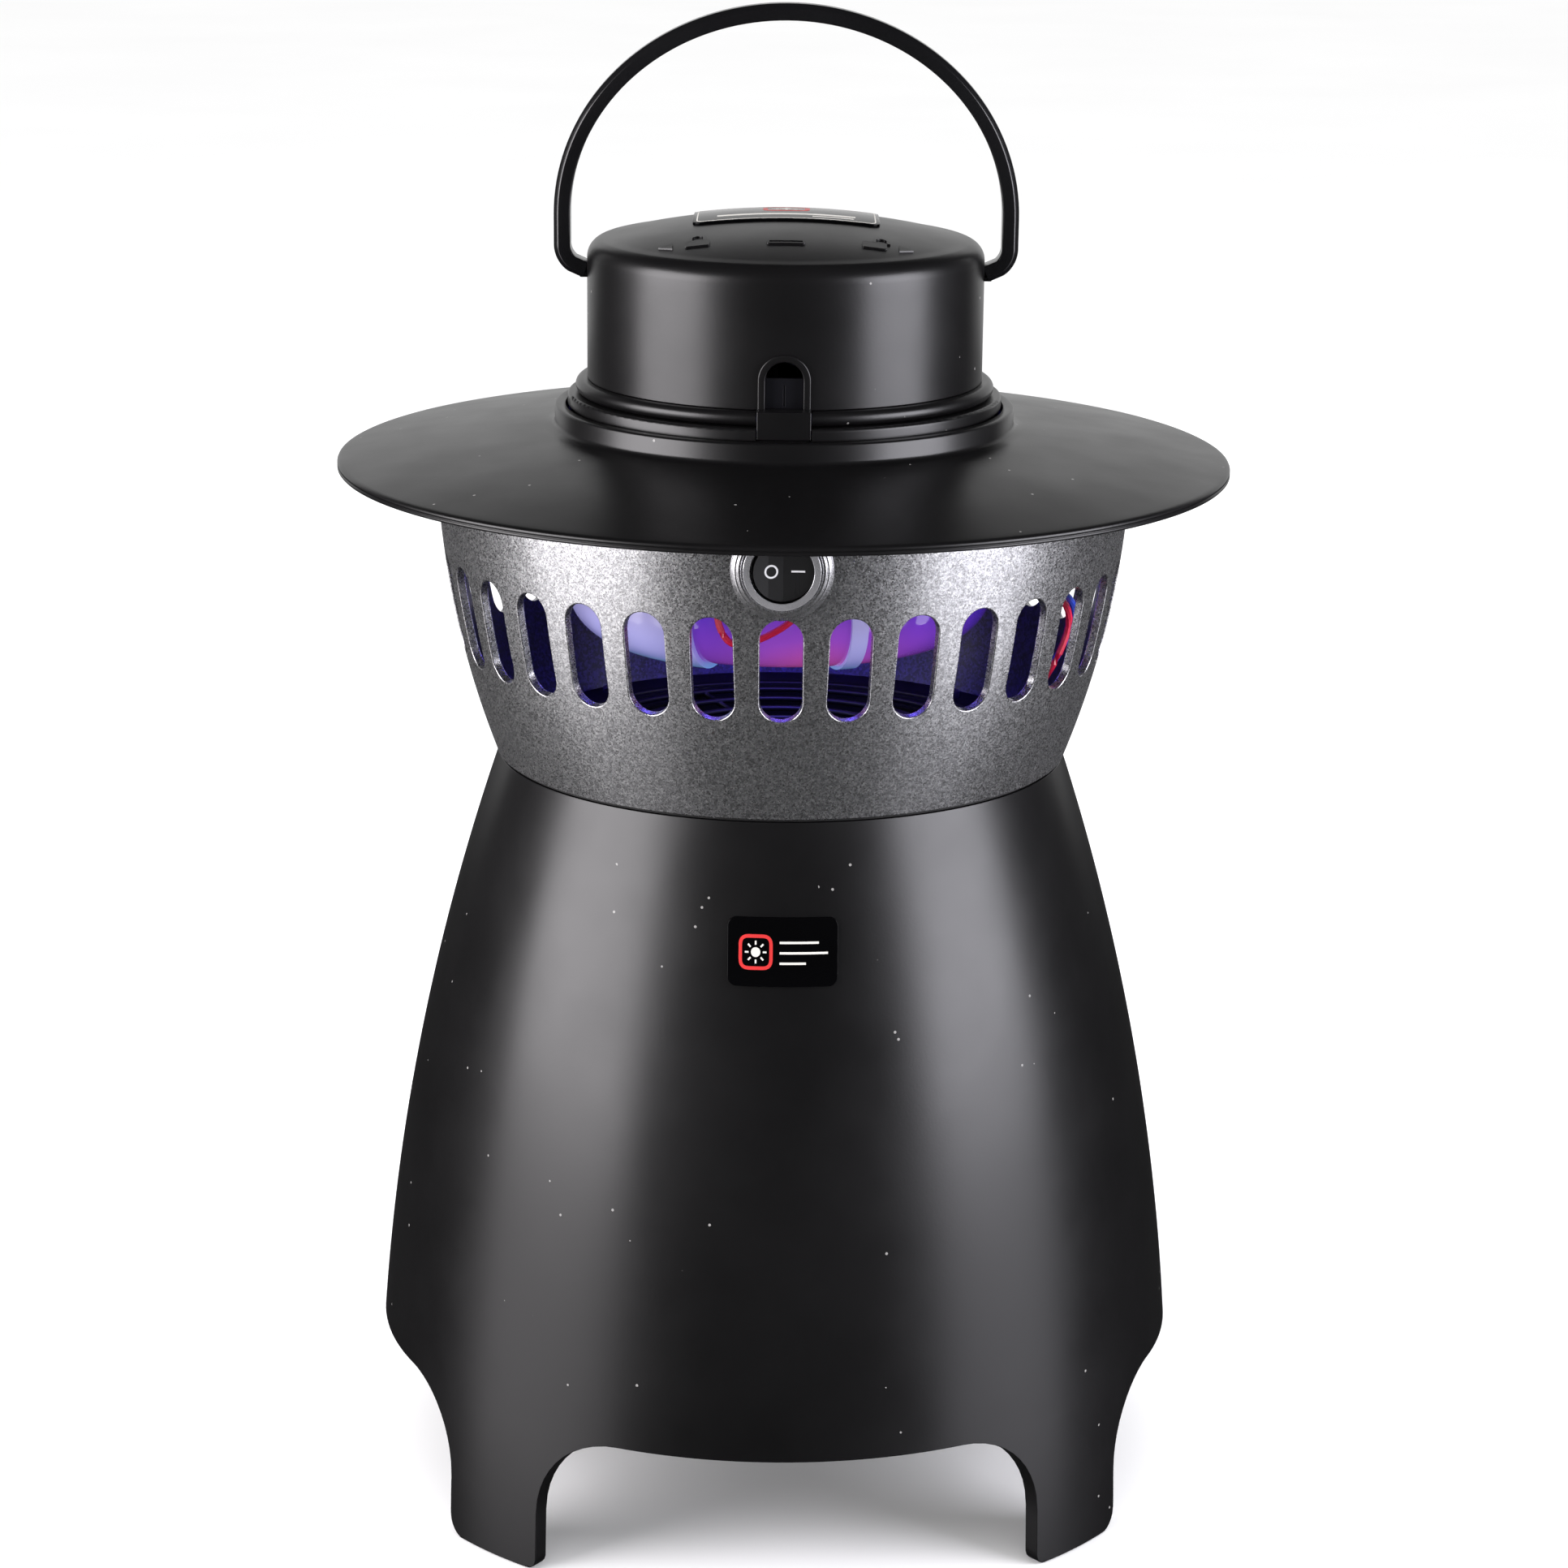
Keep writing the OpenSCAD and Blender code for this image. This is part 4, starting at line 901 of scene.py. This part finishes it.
def make_marks(mats):
    def on_badge(u, v, t):
        z = BADGE_Z + v
        r = base_r(z) + BADGE_FACE + t
        return polar(r, BADGE_AZ + math.degrees(u / r), z)

    def on_label(u, v, t):
        y = v + LABEL_Y
        return (u, y, dome_z(math.hypot(u, y)) + LABEL_FACE + t)

    def on_dome(u, v, t):
        return (u, v, dome_z(math.hypot(u, v)) - 0.3 + t)

    # Generic lamp sign: a rounded square with a disc and short rays
    def lamp_sign(cx, cy, k):
        red = closed_line(round_rect(cx, cy, 8.2 * k, 8.2 * k, 2.2 * k), 0.9 * k)
        pale = [circle(cx, cy, 1.25 * k, 24)]
        for i in range(8):
            a = math.radians(45 * i)
            c, d = math.cos(a), math.sin(a)
            pale += band_outlines([(cx + 1.9 * k * c, cy + 1.9 * k * d),
                                   (cx + 2.9 * k * c, cy + 2.9 * k * d)], 0.45 * k)
        return red, pale

    red, pale = lamp_sign(-7.6, 0.0, 1.05)
    flat_shape("badge_sign_red", red, on_badge, 0.05, mats["mark_red"], "housing")
    for height, width in ((2.6, 11.0), (-0.2, 13.6), (-3.0, 7.4)):
        pale += bar(-0.9 + width / 2, height, width, 0.62, 12)
    flat_shape("badge_lines", pale, on_badge, 0.05, mats["mark_pale"], "housing")

    red, pale = lamp_sign(0, 5.5, 1.5)
    pale += closed_line(round_rect(0, 0, 51.5, 32.5, 2.6, 8), 0.35)
    pale += bar(0, -8.8, 40, 2.4, 24)
    pale += bar(13.5, -12.6, 12, 1.1, 8)
    flat_shape("label_sign_red", red, on_label, 0.05, mats["mark_red"], "cap")
    flat_shape("label_lines", pale, on_label, 0.05, mats["mark_pale"], "cap")

    # Twist marks moulded on the dome: padlocks, arrows and a bar
    figures = []
    for side in (-1, 1):
        figures.append(round_rect(side * 25, -33, 7, 5.2, 0.8, 3))
        shackle = side * 25 + (2 if side > 0 else 0)
        arch = [(shackle + 2 * math.cos(math.radians(a)), -28 + 2 * math.sin(math.radians(a)))
                for a in range(0, 181, 15)]
        figures += band_outlines([(shackle + 2, -30.6), *arch, (shackle - 2, -30.6)], 1.0)
        tip = side * 25 + side * 9
        figures.append([(tip - 2 * side, -35.6), (tip + 2 * side, -33), (tip - 2 * side, -30.4)])
    figures += closed_line(round_rect(0, -35.5, 10.2, 2.2, 0.6, 3), 0.8)
    flat_shape("dome_marks", figures, on_dome, 0.75, mats["black_plastic"], "cap")

    # On and off marks on the rocker, in the plane of its leaning faces
    tilt = math.radians(ROCKER_TILT)
    knee = ROCKER_R / 2

    def on_rocker(u, v, t):
        y = -2.6 - 0.4 * min(1.0, abs(u) / knee) - t + 0.02
        if abs(u) > knee:
            y -= 0.8 * (abs(u) - knee) / knee
        x = u * math.cos(tilt) - y * math.sin(tilt)
        depth = u * math.sin(tilt) + y * math.cos(tilt)
        return (x, depth - ROCKER_Y, SWITCH_Z + v)

    marks = closed_line(circle(-3.3, 0.1, 1.65, 40), 0.5)
    marks += bar(4.0, 0.1, 3.7, 0.5, 8)
    flat_shape("rocker_marks", marks, on_rocker, 0.05, mats["symbol"], "rocker")


# ---------------------------------------------------------------- carried-over CAD nodes

def dress_nodes(mats):
    """Every CAD node that still shows gets its material, and a few get softened edges."""
    slot_of = {part["node"]: part["material_slot"] for part in frame["record"]["subparts"]}
    # The lamp connector and clips take the lamp_end material, with its painted violet light and painted
    # glow.
    special = {"badge": "label_black", "cap_label": "label_black",
               "lamp_connector": "lamp_end", "lamp_clips": "lamp_end"}
    soft_edges = {"badge": 0.2, "cap_label": 0.2, "rocker": 0.3, "switch_boot": 0.2,
                  "cord_entry_insert": 0.2}
    for name, obj in frame["nodes"].items():
        if obj.hide_render:
            continue
        material = mats[special.get(name, slot_of[name])]
        obj.data.materials.clear()
        obj.data.materials.append(material)
        weld = obj.modifiers.new("weld", "WELD")
        weld.merge_threshold = 1e-6
        if name in soft_edges:
            bevel(obj, soft_edges[name], 3, 35)


# ---------------------------------------------------------------- stage and lights

def make_stage():
    mesh = bpy.data.meshes.new("floor")
    size = 12.0
    mesh.from_pydata([(-size, -size, 0), (size, -size, 0), (size, size, 0), (-size, size, 0)],
                     [], [(0, 1, 2, 3)])
    floor = bpy.data.objects.new("floor", mesh)
    bpy.context.scene.collection.objects.link(floor)
    floor.location.z = -0.0002
    m = Nodes("floor_white")
    m.colour(m.ramp(m.noise(3.0), [(0.3, 0.93), (0.7, 0.95)]))
    m.set(Roughness=0.9)
    mesh.materials.append(m.material)
    floor.visible_glossy = False
    floor.visible_shadow = False


def area_light(name, place, target, width, height, power, colour=(1, 1, 1)):
    data = bpy.data.lights.new(name, "AREA")
    data.shape = "RECTANGLE"
    data.size = width
    data.size_y = height
    data.energy = power
    data.color = colour
    light = bpy.data.objects.new(name, data)
    bpy.context.scene.collection.objects.link(light)
    direction = Vector(target) - Vector(place)
    light.rotation_euler = direction.to_track_quat("-Z", "Y").to_euler()
    light.location = place
    light.visible_camera = False
    return light


def make_lights():
    scene = bpy.context.scene
    scene.view_settings.view_transform = "Standard"
    world = bpy.data.worlds.new("studio")
    scene.world = world
    world.use_nodes = True
    tree = world.node_tree
    tree.nodes.clear()
    path = tree.nodes.new("ShaderNodeLightPath")
    bright = tree.nodes.new("ShaderNodeBackground")
    bright.inputs["Color"].default_value = (1, 1, 1, 1)
    bright.inputs["Strength"].default_value = WORLD_BRIGHT
    dim = tree.nodes.new("ShaderNodeBackground")
    dim.inputs["Color"].default_value = (0.98, 0.98, 1, 1)
    dim.inputs["Strength"].default_value = WORLD_GLOSSY
    mix = tree.nodes.new("ShaderNodeMixShader")
    out = tree.nodes.new("ShaderNodeOutputWorld")
    tree.links.new(path.outputs["Is Glossy Ray"], mix.inputs[0])
    tree.links.new(bright.outputs[0], mix.inputs[1])
    tree.links.new(dim.outputs[0], mix.inputs[2])
    tree.links.new(mix.outputs[0], out.inputs[0])

    # Each side is a tall band of light: bright above, dimmer in two steps below it
    for side, azimuth, width, strength, tint in (
        ("left", -67, 1.0, 1.0, (1.0, 0.97, 1.0)),
        ("right", 66, 0.85, 1.03, (0.94, 0.93, 1.0)),
    ):
        for step, low, high, glow in (("upper", 0.12, 1.0, 26.0), ("middle", -0.46, 0.12, 5.6),
                                      ("lower", -1.25, -0.46, 0.8)):
            middle = (low + high) / 2
            box = area_light("box_%s_%s" % (side, step), polar(BOX_DISTANCE, azimuth, middle),
                             (0, 0, middle), width, high - low,
                             glow * strength * width * (high - low), tint)
            box.visible_diffuse = step == "upper"
    area_light("back_card", (0, 1.8, 0.65), (0, 0, 0.65), 3.4, 1.25, 10.5)


def make_glow():
    """The ultraviolet glow inside the cage."""
    for name, place, power, colour, size in (
        ("glow_middle", (0, 0, (NECK_Z + 74) * MM), 0.42, (0.16, 0.1, 1.0), 0.02),
        ("glow_low", (0, 0.02, (NECK_Z + 30) * MM), 0.012, (0.1, 0.2, 1.0), 0.01),
    ):
        data = bpy.data.lights.new(name, "POINT")
        data.energy = power
        data.color = colour
        data.shadow_soft_size = size
        light = bpy.data.objects.new(name, data)
        bpy.context.scene.collection.objects.link(light)
        light.location = place
        light.visible_camera = False


make_camera()
materials = make_materials()
make_stage()
make_lights()
make_glow()
make_base(materials)
make_cage(materials)
make_brim(materials)
make_cap(materials)
make_bail(materials)
make_marks(materials)
dress_nodes(materials)
